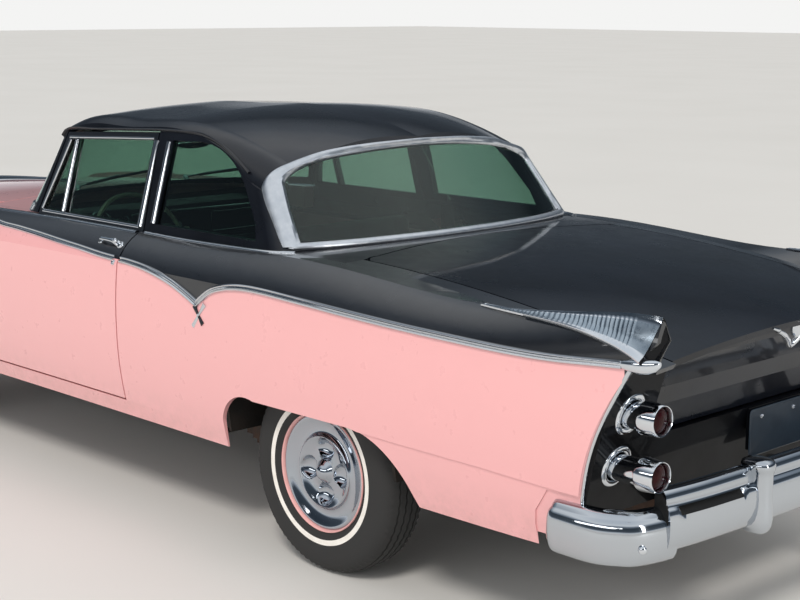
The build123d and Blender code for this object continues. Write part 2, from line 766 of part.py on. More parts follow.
def exhaust_path(radius):
    """The exhaust's run from the engine to the tail, over the rear axle."""
    x = REAR_AXLE_X
    pts = [(1250, 300), (x + 330, 300), (x + 190, 448), (x - 190, 448), (x - 330, 300), (-2520, 300)]
    run = None
    for (x0, z0), (x1, z1) in zip(pts, pts[1:]):
        piece = rod((x0, EXHAUST_Y, z0), (x1, EXHAUST_Y, z1), radius)
        ball = Pos(x1, EXHAUST_Y, z1) * Sphere(radius)
        run = piece + ball if run is None else run + piece + ball
    return run


def exhaust():
    """The exhaust pipe with its silencer."""
    return exhaust_path(EXHAUST_RADIUS) + rod((-250, EXHAUST_Y, 285), (250, EXHAUST_Y, 285), 68)


def engine():
    """The engine with its gearbox as one plain block."""
    block = box(1240, 1960, -270, 270, 380, 860)
    gearbox = box(GEARBOX_X, 1240, -110, 110, 330, 452)
    return block + gearbox


def fuel_tank():
    """The fuel tank under the trunk's floor."""
    return box(-2320, -1960, -300, 300, 290, 389)


def revolved(profile, side):
    """A wheel part turned about its axle. The profile holds radius and offset from the wheel's middle."""
    face = Face(wire(profile, lambda r, y: Vector(r, y, 0)))
    turned = Solid.revolve(face, 360, Axis((0, 0, 0), (0, 1, 0)))
    return turned if side > 0 else mirror(turned, about=Plane.XZ)


def tyre(side):
    """A tyre with rounded shoulders and bulging walls."""
    half, bead = TYRE_WIDTH / 2, RIM_WIDTH / 2
    r0, r1 = RIM_RADIUS, TYRE_RADIUS
    middle = (r0 + r1) / 2
    return revolved([
        (r0, -bead + 14), (r0 + 10, -bead + 4), (r0 + 12, -bead - 4), (middle, -half, r1 - 28, -half + 18),
        (r1 - 8, -half + 26, r1, -half + 46), (r1, half - 46),
        (r1 - 8, half - 26, r1 - 28, half - 18), (middle, half, r0 + 12, bead + 4),
        (r0 + 10, bead - 4), (r0, bead - 14),
    ], side)


def wheel(side):
    """A steel wheel and its bright full-width cover, turned as one."""
    r, bead = RIM_RADIUS, RIM_WIDTH / 2
    bore = HUB_RADIUS + BEARING_GAP
    cap = dome(bead - 4, 92, 24)
    return revolved([
        (bore, -20), (60, -20), (60, 14), (r - 14, 14), (r - 14, -bead),
        (r + 10, -bead), (r + 10, -bead + 4), (r, -bead + 14), (r, bead - 14),
        (r + 10, bead - 4), (r + 10, bead + 2), (r - 8, bead + 2),
        (r - 26, bead + 8, r - 44, bead - 2), (120, bead - 12, 92, bead - 4),
        (cap[1], cap[0], 0, cap[2]), (0, 44), (bore, 44),
    ], side)


def steering_axis_point(length):
    """A point on the steering column, forward of the wheel's hub."""
    tilt = radians(STEER_TILT)
    return (STEER_X + length * cos(tilt), COLUMN_Y, STEER_Z - length * sin(tilt))


def steering_wheel():
    """The steering wheel: ring, two spokes, hub and the turning shaft."""
    plane = Plane(Vector(*steering_axis_point(0)), z_dir=Vector(*steering_axis_point(1)) - Vector(*steering_axis_point(0)))
    ring = plane * Torus(STEER_RING, 11)
    hub = rod(steering_axis_point(-20), steering_axis_point(60), 34)
    spokes = rod((STEER_X, COLUMN_Y - STEER_RING, STEER_Z), (STEER_X, COLUMN_Y + STEER_RING, STEER_Z), 8)
    return ring + hub + spokes


def column():
    """The fixed steering column from below the wheel to the firewall, with its hanger."""
    tube = rod(steering_axis_point(62), steering_axis_point(760), 26)
    tube -= box(HOOD_REAR - 30, HOOD_REAR + 100, 0, 600, 300, 900)
    return tube + box(795, 835, COLUMN_Y - 30, COLUMN_Y + 30, 715, 810)


def dashboard():
    """The dashboard with a glove box side and the instrument hood."""
    face = prism_y([
        (820, 1034), (772, 1012), (770, 860), (800, 800), (930, 800), (930, 1006), (985, 1006), (985, 1034),
    ], -DASH_HALF, DASH_HALF)
    hood = box(752, 820, COLUMN_Y - 160, COLUMN_Y + 160, 900, 1020)
    return face + hood + column()


def bench(x, base_z, cushion_top, back_top, depth, half, lean, foot):
    """A bench seat in side view: cushion and leaning back in one."""
    steps = [
        (x, base_z), (x, base_z + 90), (x - 10, cushion_top, x - 60, cushion_top),
        (x - depth, cushion_top - 30), (x - depth - lean, back_top - 30),
        (x - depth - lean - 40, back_top, x - depth - lean - 90, back_top - 30),
        (x - depth - 140, base_z),
    ]
    seat = prism_y(steps, -half, half)
    if foot:
        for y in (-half + 90, half - 90):
            seat += box(x - depth, x - 60, y - 25, y + 25, FLOOR_Z + PLATE, base_z)
    return seat


PARTS = {
    "chassis": chassis,
    "floor_pan": floor_pan,
    "cowl": cowl,
    "quarter_panel_left": quarter,
    "quarter_panel_right": lambda: mirrored(quarter()),
    "wheelhouses": lambda: Compound(list(wheelhouse().solids()) + list(mirrored(wheelhouse()).solids())),
    "rocker_panels": lambda: Compound([rocker(), mirrored(rocker())]),
    "front_fender_left": fender,
    "front_fender_right": lambda: mirrored(fender()),
    "front_panel": front_panel,
    "grille": grille,
    "headlamps": lambda: Compound([headlamp(), mirrored(headlamp())]),
    "tail_panel": tail_panel,
    "tail_lamps": tail_lamps,
    "fin_trim": fin_trim,
    "deck_panel": deck_panel,
    "roof": roof,
    "windshield": windshield,
    "rear_window": backlight,
    "quarter_glass": quarter_glass,
    "hood": hood,
    "trunk_lid": trunk_lid,
    "door_left": door,
    "door_right": lambda: mirrored(door()),
    "door_glass_left": door_glass,
    "door_glass_right": lambda: mirrored(door_glass()),
    "front_bumper": lambda: bumper(1, 380),
    "rear_bumper": lambda: bumper(-1, 376),
    "engine_block": engine,
    "fuel_tank": fuel_tank,
    "exhaust": exhaust,
    "rear_axle": rear_axle,
    "knuckle_left": knuckle,
    "knuckle_right": lambda: mirrored(knuckle()),
    "dashboard": dashboard,
    "steering_wheel": steering_wheel,
    "front_seat": lambda: bench(470, 484, 650, 1010, 490, 640, 70, True),
    "rear_seat": lambda: bench(-480, 578, 720, 1000, 330, 590, 60, False),
}

os.makedirs("parts", exist_ok=True)
for name, build in PARTS.items():
    export_step(build(), f"parts/{name}.step")
for end, x in (("front", FRONT_AXLE_X), ("rear", REAR_AXLE_X)):
    for side, sign in (("left", 1), ("right", -1)):
        place = Pos(x, sign * WHEEL_Y, TYRE_RADIUS)
        export_step(place * tyre(sign), f"parts/tyre_{end}_{side}.step")
        export_step(place * wheel(sign), f"parts/wheel_{end}_{side}.step")
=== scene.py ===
"""A two-door sedan of the middle 1950s, dressed and lit for a plain studio picture."""
import logging
from dataclasses import dataclass, field
from enum import Enum
from math import atan2, cos, hypot, pi, radians, sin
from typing import Callable, Sequence

import bpy
from mathutils import Matrix, Vector
from mathutils.bvhtree import BVHTree


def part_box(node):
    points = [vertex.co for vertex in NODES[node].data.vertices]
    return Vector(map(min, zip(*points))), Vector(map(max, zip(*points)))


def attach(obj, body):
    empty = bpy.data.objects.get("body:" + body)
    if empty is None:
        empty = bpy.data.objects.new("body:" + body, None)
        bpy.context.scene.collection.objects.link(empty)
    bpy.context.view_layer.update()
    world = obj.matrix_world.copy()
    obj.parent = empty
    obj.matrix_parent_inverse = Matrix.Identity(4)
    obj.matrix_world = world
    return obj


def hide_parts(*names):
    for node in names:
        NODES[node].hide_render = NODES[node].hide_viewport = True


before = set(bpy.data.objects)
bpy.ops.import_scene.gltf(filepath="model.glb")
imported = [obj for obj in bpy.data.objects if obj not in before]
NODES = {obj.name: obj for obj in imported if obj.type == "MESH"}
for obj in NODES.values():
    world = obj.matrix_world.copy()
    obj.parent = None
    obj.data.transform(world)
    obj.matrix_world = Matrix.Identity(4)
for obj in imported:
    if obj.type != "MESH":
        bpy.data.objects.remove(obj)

LOG = logging.getLogger("sedan")
Pair = tuple[float, float]
Place = tuple[float, float, float]
Spot = Sequence[float]
Line = Sequence[Spot]
Warp = Callable[[float, float, float], Pair]
Tree = bpy.types.NodeTree
Socket = bpy.types.NodeSocket


class Side(Enum):
    """The two sides of the car, by the sign of Y."""

    LEFT = 1
    RIGHT = -1

    @property
    def word(self) -> str:
        """The side's name in lower case."""
        return self.name.lower()


class Grain(Enum):
    """The kinds of fine relief that a surface carries."""

    NONE = "none"
    PEEL = "orange peel"
    PITS = "pits"
    CAST = "sand cast"
    WEAVE = "plain weave"
    PILE = "carpet pile"
    HIDE = "embossed hide"


# Node helpers


def linear(code: str, alpha: float = 1.0) -> tuple[float, float, float, float]:
    """Turn an sRGB hex colour into linear light.

    Args:
        code: the colour as #RRGGBB.
        alpha: the fourth value.

    Returns:
        Red, green, blue and alpha in linear light.
    """
    parts = [int(code[i:i + 2], 16) / 255 for i in (1, 3, 5)]
    r, g, b = [c / 12.92 if c <= 0.04045 else ((c + 0.055) / 1.055) ** 2.4 for c in parts]
    return (r, g, b, alpha)


def mm(*rows: Sequence[float]) -> tuple[tuple[float, ...], ...]:
    """Rows of lengths in millimetres, as metres."""
    return tuple(tuple(length / 1000 for length in row) for row in rows)


def add(tree: Tree, kind: str, values: dict | None = None, links: dict | None = None,
        **settings: object) -> bpy.types.Node:
    """Add one node with its settings, input values and links.

    Args:
        tree: the node tree.
        kind: the node's type without the ShaderNode prefix.
        values: input values by the input's name or number.
        links: a socket, or a node for its first one, by the input's name or number.
        settings: attributes of the node.

    Returns:
        The new node.
    """
    node = tree.nodes.new("ShaderNode" + kind)
    for name, value in settings.items():
        setattr(node, name, value)
    for key, value in (values or {}).items():
        node.inputs[key].default_value = value
    for key, source in (links or {}).items():
        socket = source.outputs[0] if isinstance(source, bpy.types.Node) else source
        tree.links.new(socket, node.inputs[key])
    return node


def placed(name: str, data: bpy.types.ID) -> bpy.types.Object:
    """Put a new object into the scene.

    Args:
        name: its name.
        data: its mesh, lamp or camera.

    Returns:
        The object.
    """
    thing = bpy.data.objects.new(name, data)
    bpy.context.scene.collection.objects.link(thing)
    return thing


# The field of the curve that parts the two colours, in metres: its ends along the car and in height
CURVE_X, CURVE_Z = (-2.75, 1.15), (0.8, 1.12)
# Inner faces take the upper black as painted shade: inside the half width and behind the x, or with Y times
# the normal below the limit
INNER_HALF, INNER_BEHIND, INWARD = 0.852, -2.0, -0.25


@dataclass(frozen=True)
class Finish:
    """One real finish: its colours, its shine and its relief. Lengths are in millimetres."""

    name: str
    colour: str
    shade: str = ""
    patch: float = 300.0
    amount: float = 0.5
    metallic: float = 0.0
    roughness: float = 0.5
    spread: float = 0.0
    smudge: float = 60.0
    coat: float = 0.0
    coat_roughness: float = 0.03
    grain: Grain = Grain.NONE
    pitch: float = 2.0
    depth: float = 0.1
    sheen: float = 0.0
    ior: float = 1.5
    level: float = 0.5
    clear: float = 0.0
    upper: str = ""
    line: tuple[Pair, ...] = ()
    dirt: str = ""

    def relief(self, tree: Tree, place: Socket) -> Socket:
        """Make the height pattern of the grain.

        Args:
            tree: the node tree.
            place: the object coordinates in metres.

        Returns:
            A socket with a height from 0 to 1.
        """
        scale = 1000.0 / self.pitch
        at = {"Vector": place}
        if self.grain is Grain.WEAVE:
            waves = [add(tree, "TexWave", {"Scale": scale / 3.14, "Distortion": 0.6, "Detail Scale": 2.0}, at,
                         bands_direction=axis).outputs["Fac"] for axis in ("X", "Y", "Z")]
            pair = add(tree, "Math", links={0: waves[0], 1: waves[2]}, operation="MULTIPLY")
            return add(tree, "Math", links={0: pair, 1: waves[1]}, operation="ADD").outputs[0]
        if self.grain is Grain.HIDE:
            return add(tree, "TexVoronoi", {"Scale": scale, "Randomness": 0.9}, at,
                       feature="SMOOTH_F1").outputs[0]
        detail = {Grain.PEEL: 1.0, Grain.PITS: 2.0, Grain.CAST: 5.0, Grain.PILE: 6.0}[self.grain]
        return add(tree, "TexNoise", {"Scale": scale, "Detail": detail}, at).outputs[0]

    def tint(self, tree: Tree, place: Socket) -> Socket | None:
        """Make the colour where it varies over the surface.

        Args:
            tree: the node tree.
            place: the object coordinates in metres.

        Returns:
            A colour socket, or None where one colour covers everything.
        """
        colour = self.two_tone(tree, place) if self.line else None
        if self.shade:
            cloud = add(tree, "TexNoise", {"Scale": 1000.0 / self.patch, "Detail": 4.0}, {"Vector": place})
            part = add(tree, "MapRange", {1: 0.35, 2: 0.7, 3: 0.0, 4: self.amount}, {0: cloud})
            colour = self.over(tree, colour, self.shade, part)
        if self.dirt:
            height = add(tree, "SeparateXYZ", links={0: place}).outputs[2]
            low = add(tree, "MapRange", {1: 0.36, 2: 0.52, 3: 0.3, 4: 0.0}, {0: height})
            specks = add(tree, "TexNoise", {"Scale": 22.0, "Detail": 8.0, "Roughness": 0.7},
                         {"Vector": place})
            grit = add(tree, "MapRange", {1: 0.4, 2: 0.75, 3: 0.0, 4: 1.0}, {0: specks})
            part = add(tree, "Math", links={0: low, 1: grit}, operation="MULTIPLY")
            colour = self.over(tree, colour, self.dirt, part)
        return colour

    def over(self, tree: Tree, colour: Socket | None, upper: str, share: bpy.types.Node) -> Socket:
        """Lay a colour over the one so far.

        Args:
            tree: the node tree.
            colour: the colour so far, or None for the main colour.
            upper: the colour laid over it.
            share: the node that gives its share.

        Returns:
            The colour socket.
        """
        mix = add(tree, "Mix", {6: linear(self.colour), 7: linear(upper)}, {0: share}, data_type="RGBA")
        if colour is not None:
            tree.links.new(colour, mix.inputs[6])
        return mix.outputs[2]

    def two_tone(self, tree: Tree, place: Socket) -> Socket:
        """Paint the upper colour above the line, and on the inner faces as painted shade for the dark inside;
        the main colour elsewhere.

        Args:
            tree: the node tree.
            place: the object coordinates in metres.

        Returns:
            The colour socket.
        """
        (x0, x1), (z0, z1) = CURVE_X, CURVE_Z
        xyz = add(tree, "SeparateXYZ", links={0: place})
        along = add(tree, "MapRange", {1: x0, 2: x1, 3: 0.0, 4: 1.0}, {0: xyz})
        curve = add(tree, "FloatCurve", {0: 1.0}, {1: along})
        points = curve.mapping.curves[0].points
        marks = [((x - x0) / (x1 - x0), (z - z0) / (z1 - z0)) for x, z in sorted(self.line)]
        while len(points) < len(marks):
            points.new(0.5, 0.5)
        for point, mark in zip(points, marks):
            point.location = mark
            point.handle_type = "VECTOR"
        curve.mapping.update()
        limit = add(tree, "MapRange", {1: 0.0, 2: 1.0, 3: z0, 4: z1}, {0: curve})
        above = add(tree, "Math", links={0: xyz.outputs[2], 1: limit}, operation="GREATER_THAN")
        # Inner and inward faces take the black too: painted shade for the shade inside the doors, trunk and
        # arches
        wide = add(tree, "Math", links={0: xyz.outputs[1]}, operation="ABSOLUTE")
        within = add(tree, "Math", {1: INNER_HALF}, {0: wide}, operation="LESS_THAN")
        behind = add(tree, "Math", {1: INNER_BEHIND}, {0: xyz}, operation="LESS_THAN")
        inner = add(tree, "Math", links={0: within, 1: behind}, operation="MULTIPLY")
        facing = add(tree, "SeparateXYZ", links={0: add(tree, "TexCoord").outputs["Normal"]})
        toward = add(tree, "Math", links={0: xyz.outputs[1], 1: facing.outputs[1]}, operation="MULTIPLY")
        inward = add(tree, "Math", {1: INWARD}, {0: toward}, operation="LESS_THAN")
        inner_shade = add(tree, "Math", links={0: inner, 1: inward}, operation="MAXIMUM")
        dark = add(tree, "Math", links={0: above, 1: inner_shade}, operation="MAXIMUM")
        return self.over(tree, None, self.upper, dark)

    def make(self) -> bpy.types.Material:
        """Build the material once.

        Returns:
            The material.
        """
        if self.name in bpy.data.materials:
            return bpy.data.materials[self.name]
        material = bpy.data.materials.new(self.name)
        material.use_nodes = True
        tree = material.node_tree
        tree.nodes.clear()
        place = add(tree, "TexCoord").outputs["Object"]
        values = {
            "Base Color": linear(self.colour), "Metallic": self.metallic, "Roughness": self.roughness,
            "Coat Weight": self.coat, "Coat Roughness": self.coat_roughness,
            "Sheen Weight": self.sheen, "Transmission Weight": self.clear, "Specular IOR Level": self.level,
        }
        if not self.metallic:
            values["IOR"] = self.ior
        links: dict = {}
        colour = self.tint(tree, place)
        if colour is not None:
            links["Base Color"] = colour
        if self.spread:
            cloud = add(tree, "TexNoise", {"Scale": 1000.0 / self.smudge, "Detail": 6.0, "Roughness": 0.6},
                        {"Vector": place})
            links["Roughness"] = add(tree, "MapRange", {
                1: 0.3, 2: 0.75, 3: max(0.0, self.roughness - self.spread), 4: self.roughness + self.spread,
            }, {0: cloud})
        if self.grain is not Grain.NONE:
            links["Normal"] = add(tree, "Bump", {"Strength": 1.0, "Distance": self.depth / 1000.0},
                                  {"Height": self.relief(tree, place)})
        add(tree, "OutputMaterial", links={"Surface": add(tree, "BsdfPrincipled", values, links)})
        return material


# The line between the two paint colours, in metres. Columns: x, z
SPEAR = mm(
    (980, 1052), (852, 1030), (735, 1016), (592, 1012), (420, 1005), (256, 996), (100, 988), (-44, 979),
    (-150, 975), (-249, 972), (-384, 961), (-514, 936), (-609, 906), (-682, 878), (-715, 904),
    (-765, 934), (-837, 954), (-918, 963), (-1027, 965), (-1239, 960), (-1485, 952), (-1715, 946),
    (-1928, 943), (-2126, 941), (-2309, 944), (-2478, 955), (-2558, 960), (-2566, 960), (-2570, 805),
)


class Paints:
    """Every finish on the car, named for what it is."""

    # Nitrocellulose lacquer, sprayed and polished: soft pink with a wet skin, dusty low down
    pink = Finish("lacquer_salmon_pink", "#F0B0B1", "#EBA8A8", patch=900, roughness=0.32, spread=0.06,
                  coat=1.0, coat_roughness=0.04, dirt="#8E7468")
    # The same lacquer in black, older and a little hazy, so broad dull clouds show in its shine
    black = Finish("lacquer_black", "#0B0D13", "#171B24", patch=350, amount=0.7, roughness=0.35,
                   spread=0.12, smudge=180, level=0.1, coat=0.68, coat_roughness=0.045, grain=Grain.PEEL,
                   pitch=4.0, depth=0.004)
    # The tail's black, darker and duller than the rest: painted shade for the shadow that the tail stands in
    tail_black = Finish("lacquer_black_tail", "#06070A", "#0F1116", patch=200, amount=0.6, roughness=0.4,
                        spread=0.1, smudge=120, level=0.04, coat=0.25, coat_roughness=0.03,
                        grain=Grain.PEEL, pitch=4.0, depth=0.004)
    # Panels that carry both colours, parted under the bright side strip; the black also lies on their inner
    # faces as painted shade
    two_tone = Finish("lacquer_pink_and_black", "#F0B0B1", roughness=0.32, spread=0.06, coat=1.0,
                      coat_roughness=0.04, upper="#0D1017", line=SPEAR, dirt="#8E7468")
    # Electroplated chromium on polished steel: a mirror with a faint haze where it was wiped
    chrome = Finish("chromium_plate", "#DDE1E6", metallic=1.0, roughness=0.06, spread=0.045, smudge=45)
    # The bumpers' heavier plating, with a broader haze of road grime, tinted darker than the chrome as
    # painted shade for the dark ground it mirrors
    plated = Finish("bumper_chromium", "#C3C8CE", metallic=1.0, roughness=0.075, spread=0.06, smudge=90)
    # The fins' castings, less worn than the small badges
    fin_chrome = Finish("fin_chromium", "#D9DEE4", metallic=1.0, roughness=0.1, spread=0.06, smudge=20)
    # The fins' channel between its bright beads: satin, tinted a darker blue-grey as a painted reflection
    channel = Finish("fin_channel_satin", "#B2BEC8", "#93A1AD", patch=25, metallic=1.0, roughness=0.3,
                     spread=0.08, smudge=15)
    # Die-cast zinc under chromium that has aged: tiny pits break the mirror
    pitted = Finish("chromium_plate_pitted", "#C9CED6", "#9AA2AC", patch=18, metallic=1.0,
                    roughness=0.16, spread=0.08, smudge=12, grain=Grain.PITS, pitch=2.2, depth=0.1)
    # Rolled stainless strip with a faint haze
    stainless = Finish("stainless_strip", "#D5D8DC", metallic=1.0, roughness=0.1, spread=0.05, smudge=35)
    # The rear window's wide frame, satin from years of polish: a soft broad shine
    satin = Finish("stainless_satin", "#E4E7EB", "#C4CAD1", patch=30, metallic=1.0, roughness=0.36,
                   spread=0.08, smudge=25)
    # Wheel covers: thin plating over pressed steel, tinted darker than the castings as painted shade for the
    # dark ground they mirror
    cover_chrome = Finish("cover_chromium", "#B4BAC2", metallic=1.0, roughness=0.07, spread=0.05, smudge=30)
    # Toughened plate glass with a green cast from its iron
    glass = Finish("plate_glass_green", "#9DBCAE", roughness=0.0, clear=1.0)
    # Pressed lamp glass: clear, with a slight ripple
    clear_lens = Finish("lamp_glass_clear", "#F2F4F2", roughness=0.03, clear=1.0, grain=Grain.PITS,
                        pitch=6.0, depth=0.15)
    # Moulded acrylic in red, darkened nearly to black as painted shade for the shade the lamps sit in, under
    # a glossy face
    red_lens = Finish("acrylic_dark_red", "#2A0205", "#160102", patch=20, amount=0.6, roughness=0.1,
                      level=0.15, ior=1.49)
    # Natural rubber with carbon black, gone grey with dust
    tyre = Finish("tyre_rubber", "#0B0B0C", "#1C1A17", patch=45, amount=0.55, roughness=0.72, spread=0.12,
                  grain=Grain.CAST, pitch=3.0, depth=0.18)
    # White rubber, vulcanised into the wall and scrubbed: chalky, with faint grey patches
    white_wall = Finish("white_rubber", "#F1EEE8", "#DCD5CB", patch=30, roughness=0.6, grain=Grain.CAST,
                        pitch=2.0, depth=0.08)
    # Stove enamel on the rim's edge, in the body's pink: an even, hard gloss
    rim_enamel = Finish("stove_enamel_pink", "#EDB4B1", "#DFA19E", patch=25, roughness=0.3, coat=0.6)
    # Extruded sponge rubber: dull, with a fine open grain
    seal = Finish("sponge_rubber_seal", "#0D0D0D", roughness=0.75, grain=Grain.CAST, pitch=1.5, depth=0.06)
    # Pressed aluminium in weathered dark enamel: cloudy and finely pitted
    plate = Finish("plate_enamel_dark", "#1C2733", "#2C3945", patch=60, roughness=0.4, coat=0.3,
                   grain=Grain.PITS, pitch=3.0, depth=0.05)
    # Bitumen underseal: thick, stippled and dull
    underseal = Finish("bitumen_underseal", "#141210", "#2A221C", patch=90, amount=0.7, roughness=0.88,
                       spread=0.08, grain=Grain.CAST, pitch=9.0, depth=0.9)
    # Hot-rolled steel: dark scale with patches of dry rust
    steel = Finish("rolled_steel_rusty", "#3A332E", "#5A3A28", patch=60, amount=0.7, metallic=0.4,
                   roughness=0.62, grain=Grain.CAST, pitch=4.0, depth=0.2)
    # Cast iron in engine enamel: a sandy grey skin with a low shine
    iron = Finish("cast_iron_enamelled", "#3D4A52", "#2A2F33", patch=80, amount=0.6, roughness=0.5,
                  grain=Grain.CAST, pitch=3.0, depth=0.3)
    # Woven seat cloth, black with a silver fleck. The threads are drawn at 3 mm so that they show
    cloth = Finish("woven_seat_cloth", "#1E2426", "#39464A", patch=7, amount=0.8, roughness=0.85, sheen=0.3,
                   grain=Grain.WEAVE, pitch=3.0, depth=0.5)
    # Calendered vinyl with a hide grain, dull pink to match the body
    vinyl = Finish("vinyl_hide_pink", "#C78F8C", "#B98280", patch=120, roughness=0.42, spread=0.06,
                   grain=Grain.HIDE, pitch=2.4, depth=0.12)
    # The same vinyl in black, a little duller
    dark_vinyl = Finish("vinyl_hide_black", "#15181A", "#1F2426", patch=120, roughness=0.45,
                        spread=0.06, grain=Grain.HIDE, pitch=2.4, depth=0.12)
    # Heat-cured enamel on the engine's pressings, a shade of red gone dull
    engine_enamel = Finish("engine_enamel_red", "#5E2018", "#3E1611", patch=60, amount=0.6, roughness=0.38,
                           coat=0.3, grain=Grain.CAST, pitch=3.0, depth=0.08)
    # Tufted wool carpet: a deep pile without shine
    carpet = Finish("wool_carpet", "#22262A", "#14171A", patch=40, amount=0.7, roughness=0.95, sheen=0.4,
                    grain=Grain.PILE, pitch=4.0, depth=1.2)
    # Napped headlining cloth: soft, matt and a little uneven
    lining = Finish("napped_lining", "#8F8A80", "#7D786F", patch=200, amount=0.4, roughness=0.95, sheen=0.4,
                    grain=Grain.PILE, pitch=1.6, depth=0.3)
    # Moulded urea plastic in ivory, with a waxy shine
    ivory = Finish("moulded_plastic_ivory", "#CFC6B4", roughness=0.28, coat=0.3, spread=0.05)
    # Printed dial faces: near black and half glossy
    dial = Finish("printed_dial", "#101214", "#20262A", patch=30, amount=0.4, roughness=0.4, coat=0.5)


# Shapes


@dataclass
class Shape:
    """Points and faces gathered for one mesh, in metres."""

    points: list[Vector] = field(default_factory=list)
    faces: list[tuple[int, ...]] = field(default_factory=list)
    marks: list[int] = field(default_factory=list)

    def skin(self, rows: Sequence[Line], around: bool = False, along: bool = False,
             caps: bool = False, mark: int = 0) -> "Shape":
        """Join rows of points, each with as many points, into a skin.

        Args:
            rows: the rows of points.
            around: whether each row closes on itself.
            along: whether the last row joins the first.
            caps: whether the first and last rows are filled.
            mark: the material number of the new faces.

        Returns:
            This shape, for chaining.
        """
        base, wide, long = len(self.points), len(rows[0]), len(rows)
        for row in rows:
            self.points.extend(Vector(p) for p in row)
        for i in range(long if along else long - 1):
            for j in range(wide if around else wide - 1):
                a = base + i * wide + j
                b = base + i * wide + (j + 1) % wide
                c = base + ((i + 1) % long) * wide + (j + 1) % wide
                d = base + ((i + 1) % long) * wide + j
                self.faces.append((a, b, c, d))
                self.marks.append(mark)
        if caps:
            self.faces.append(tuple(base + j for j in reversed(range(wide))))
            self.faces.append(tuple(base + (long - 1) * wide + j for j in range(wide)))
            self.marks += [mark, mark]
        return self

    def lathe(self, profile: Sequence[Pair], centre: Spot, axis: Spot, turns: int = 64,
              marks: Sequence[int] = (), warp: Warp | None = None) -> "Shape":
        """Turn a profile about an axis.

        Args:
            profile: pairs of distance along the axis and radius.
            centre: a point on the axis.
            axis: the direction of the axis.
            turns: the number of steps around.
            marks: a material number for each strip of the profile.
            warp: gives the distance and radius in place of those at an angle.

        Returns:
            This shape, for chaining.
        """
        axis = Vector(axis).normalized()
        side = axis.orthogonal().normalized()
        other = axis.cross(side)
        rings = []
        for a, r in profile:
            ring = []
            for k in range(turns):
                t = 2 * pi * k / turns
                along, out = warp(a, r, t) if warp else (a, r)
                ring.append(Vector(centre) + axis * along + (side * cos(t) + other * sin(t)) * out)
            rings.append(ring)
        for n, (low, high) in enumerate(zip(rings, rings[1:])):
            self.skin([high, low], around=True, mark=marks[n] if marks else 0)
        return self

    def join(self, other: "Shape", mark: int = 0) -> None:
        """Take in another shape.

        Args:
            other: the other shape.
            mark: the material number of all its faces.
        """
        base = len(self.points)
        self.points += other.points
        self.faces += [tuple(base + i for i in face) for face in other.faces]
        self.marks += [mark] * len(other.faces)

    def merged(self) -> "Shape":
        """Join the points that coincide.

        Returns:
            The same form without double points.
        """
        seen: dict = {}
        order, made = [], Shape()
        for p in self.points:
            key = tuple(round(v, 6) for v in p)
            if key not in seen:
                seen[key] = len(made.points)
                made.points.append(p)
            order.append(seen[key])
        for face, mark in zip(self.faces, self.marks):
            corners = tuple(dict.fromkeys(order[i] for i in face))
            if len(corners) > 2:
                made.faces.append(corners)
                made.marks.append(mark)
        return made

    def thing(self, name: str, finishes: "Finish | Sequence[Finish]", body: str = "body",
              side: Side = Side.LEFT, angle: float = 38.0, replaces: Sequence[str] = (),
              slot: str = "") -> bpy.types.Object:
        """Make the Blender object.

        Args:
            name: the object's name.
            finishes: one finish, or one for each material number.
            body: the CAD body that it rides on.
            side: RIGHT mirrors the shape across the car.
            angle: edges sharper than this many degrees stay sharp.
            replaces: CAD nodes that it stands for.
            slot: not used.

        Returns:
            The object.
        """
        shape = self.merged()
        mesh = bpy.data.meshes.new(name)
        if side is Side.RIGHT:
            points = [(p.x, -p.y, p.z) for p in shape.points]
            faces = [tuple(reversed(f)) for f in shape.faces]
        else:
            points, faces = [tuple(p) for p in shape.points], shape.faces
        mesh.from_pydata(points, [], faces)
        for finish in (finishes if isinstance(finishes, (list, tuple)) else [finishes]):
            mesh.materials.append(finish.make())
        for polygon, mark in zip(mesh.polygons, shape.marks):
            polygon.material_index = mark
            polygon.use_smooth = True
        mesh.set_sharp_from_angle(angle=radians(angle))
        mesh.validate()
        thing = placed(name, mesh)
        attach(thing, body)
        if replaces:
            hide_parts(*replaces)
        LOG.info("%s: %d faces on %s", name, len(faces), body)
        return thing

    def both(self, name: str, finishes: "Finish | Sequence[Finish]", body: str = "body",
             replaces: Sequence[str] = (), **more: object) -> list[bpy.types.Object]:
        """Make the object on the left and its mirror on the right.

        Args:
            name: the objects' name without the side.
            finishes: one finish, or one for each material number.
            body: the CAD body, without the side where each side has its own.
            replaces: CAD nodes that they stand for. One node for both sides goes with the left object.
            more: the other values that thing takes.

        Returns:
            Both objects.
        """
        things = []
        for side in Side:
            end = f"_{side.word}"
            nodes = [n + end if n + end in NODES else n for n in replaces
                     if n + end in NODES or side is Side.LEFT]
            rider = body if body == "body" else body + end
            things.append(self.thing(name + end, finishes, rider, side, replaces=nodes, **more))
        return things


def solid(rows: Sequence[Line]) -> Shape:
    """A closed form over rows of points that each return to their start."""
    return Shape().skin(rows, around=True, caps=True)


def rounded(points: Line, steps: int = 6, closed: bool = False) -> list[Vector]:
    """Draw a smooth line through points.

    Args:
        points: the points that the line passes.
        steps: the number of pieces between two points.
        closed: whether the line returns to its start.

    Returns:
        The points of the line.
    """
    points = [Vector(p) for p in points]
    count = len(points)
    line = []
    for i in range(count if closed else count - 1):
        p0 = points[(i - 1) % count] if closed or i > 0 else points[0] * 2 - points[1]
        p1, p2 = points[i], points[(i + 1) % count]
        p3 = points[(i + 2) % count] if closed or i + 2 < count else points[-1] * 2 - points[-2]
        for k in range(steps):
            t = k / steps
            line.append(0.5 * ((2 * p1) + (p2 - p0) * t + (2 * p0 - 5 * p1 + 4 * p2 - p3) * t * t
                               + (3 * p1 - p0 - 3 * p2 + p3) * t ** 3))
    if not closed:
        line.append(points[-1].copy())
    return line


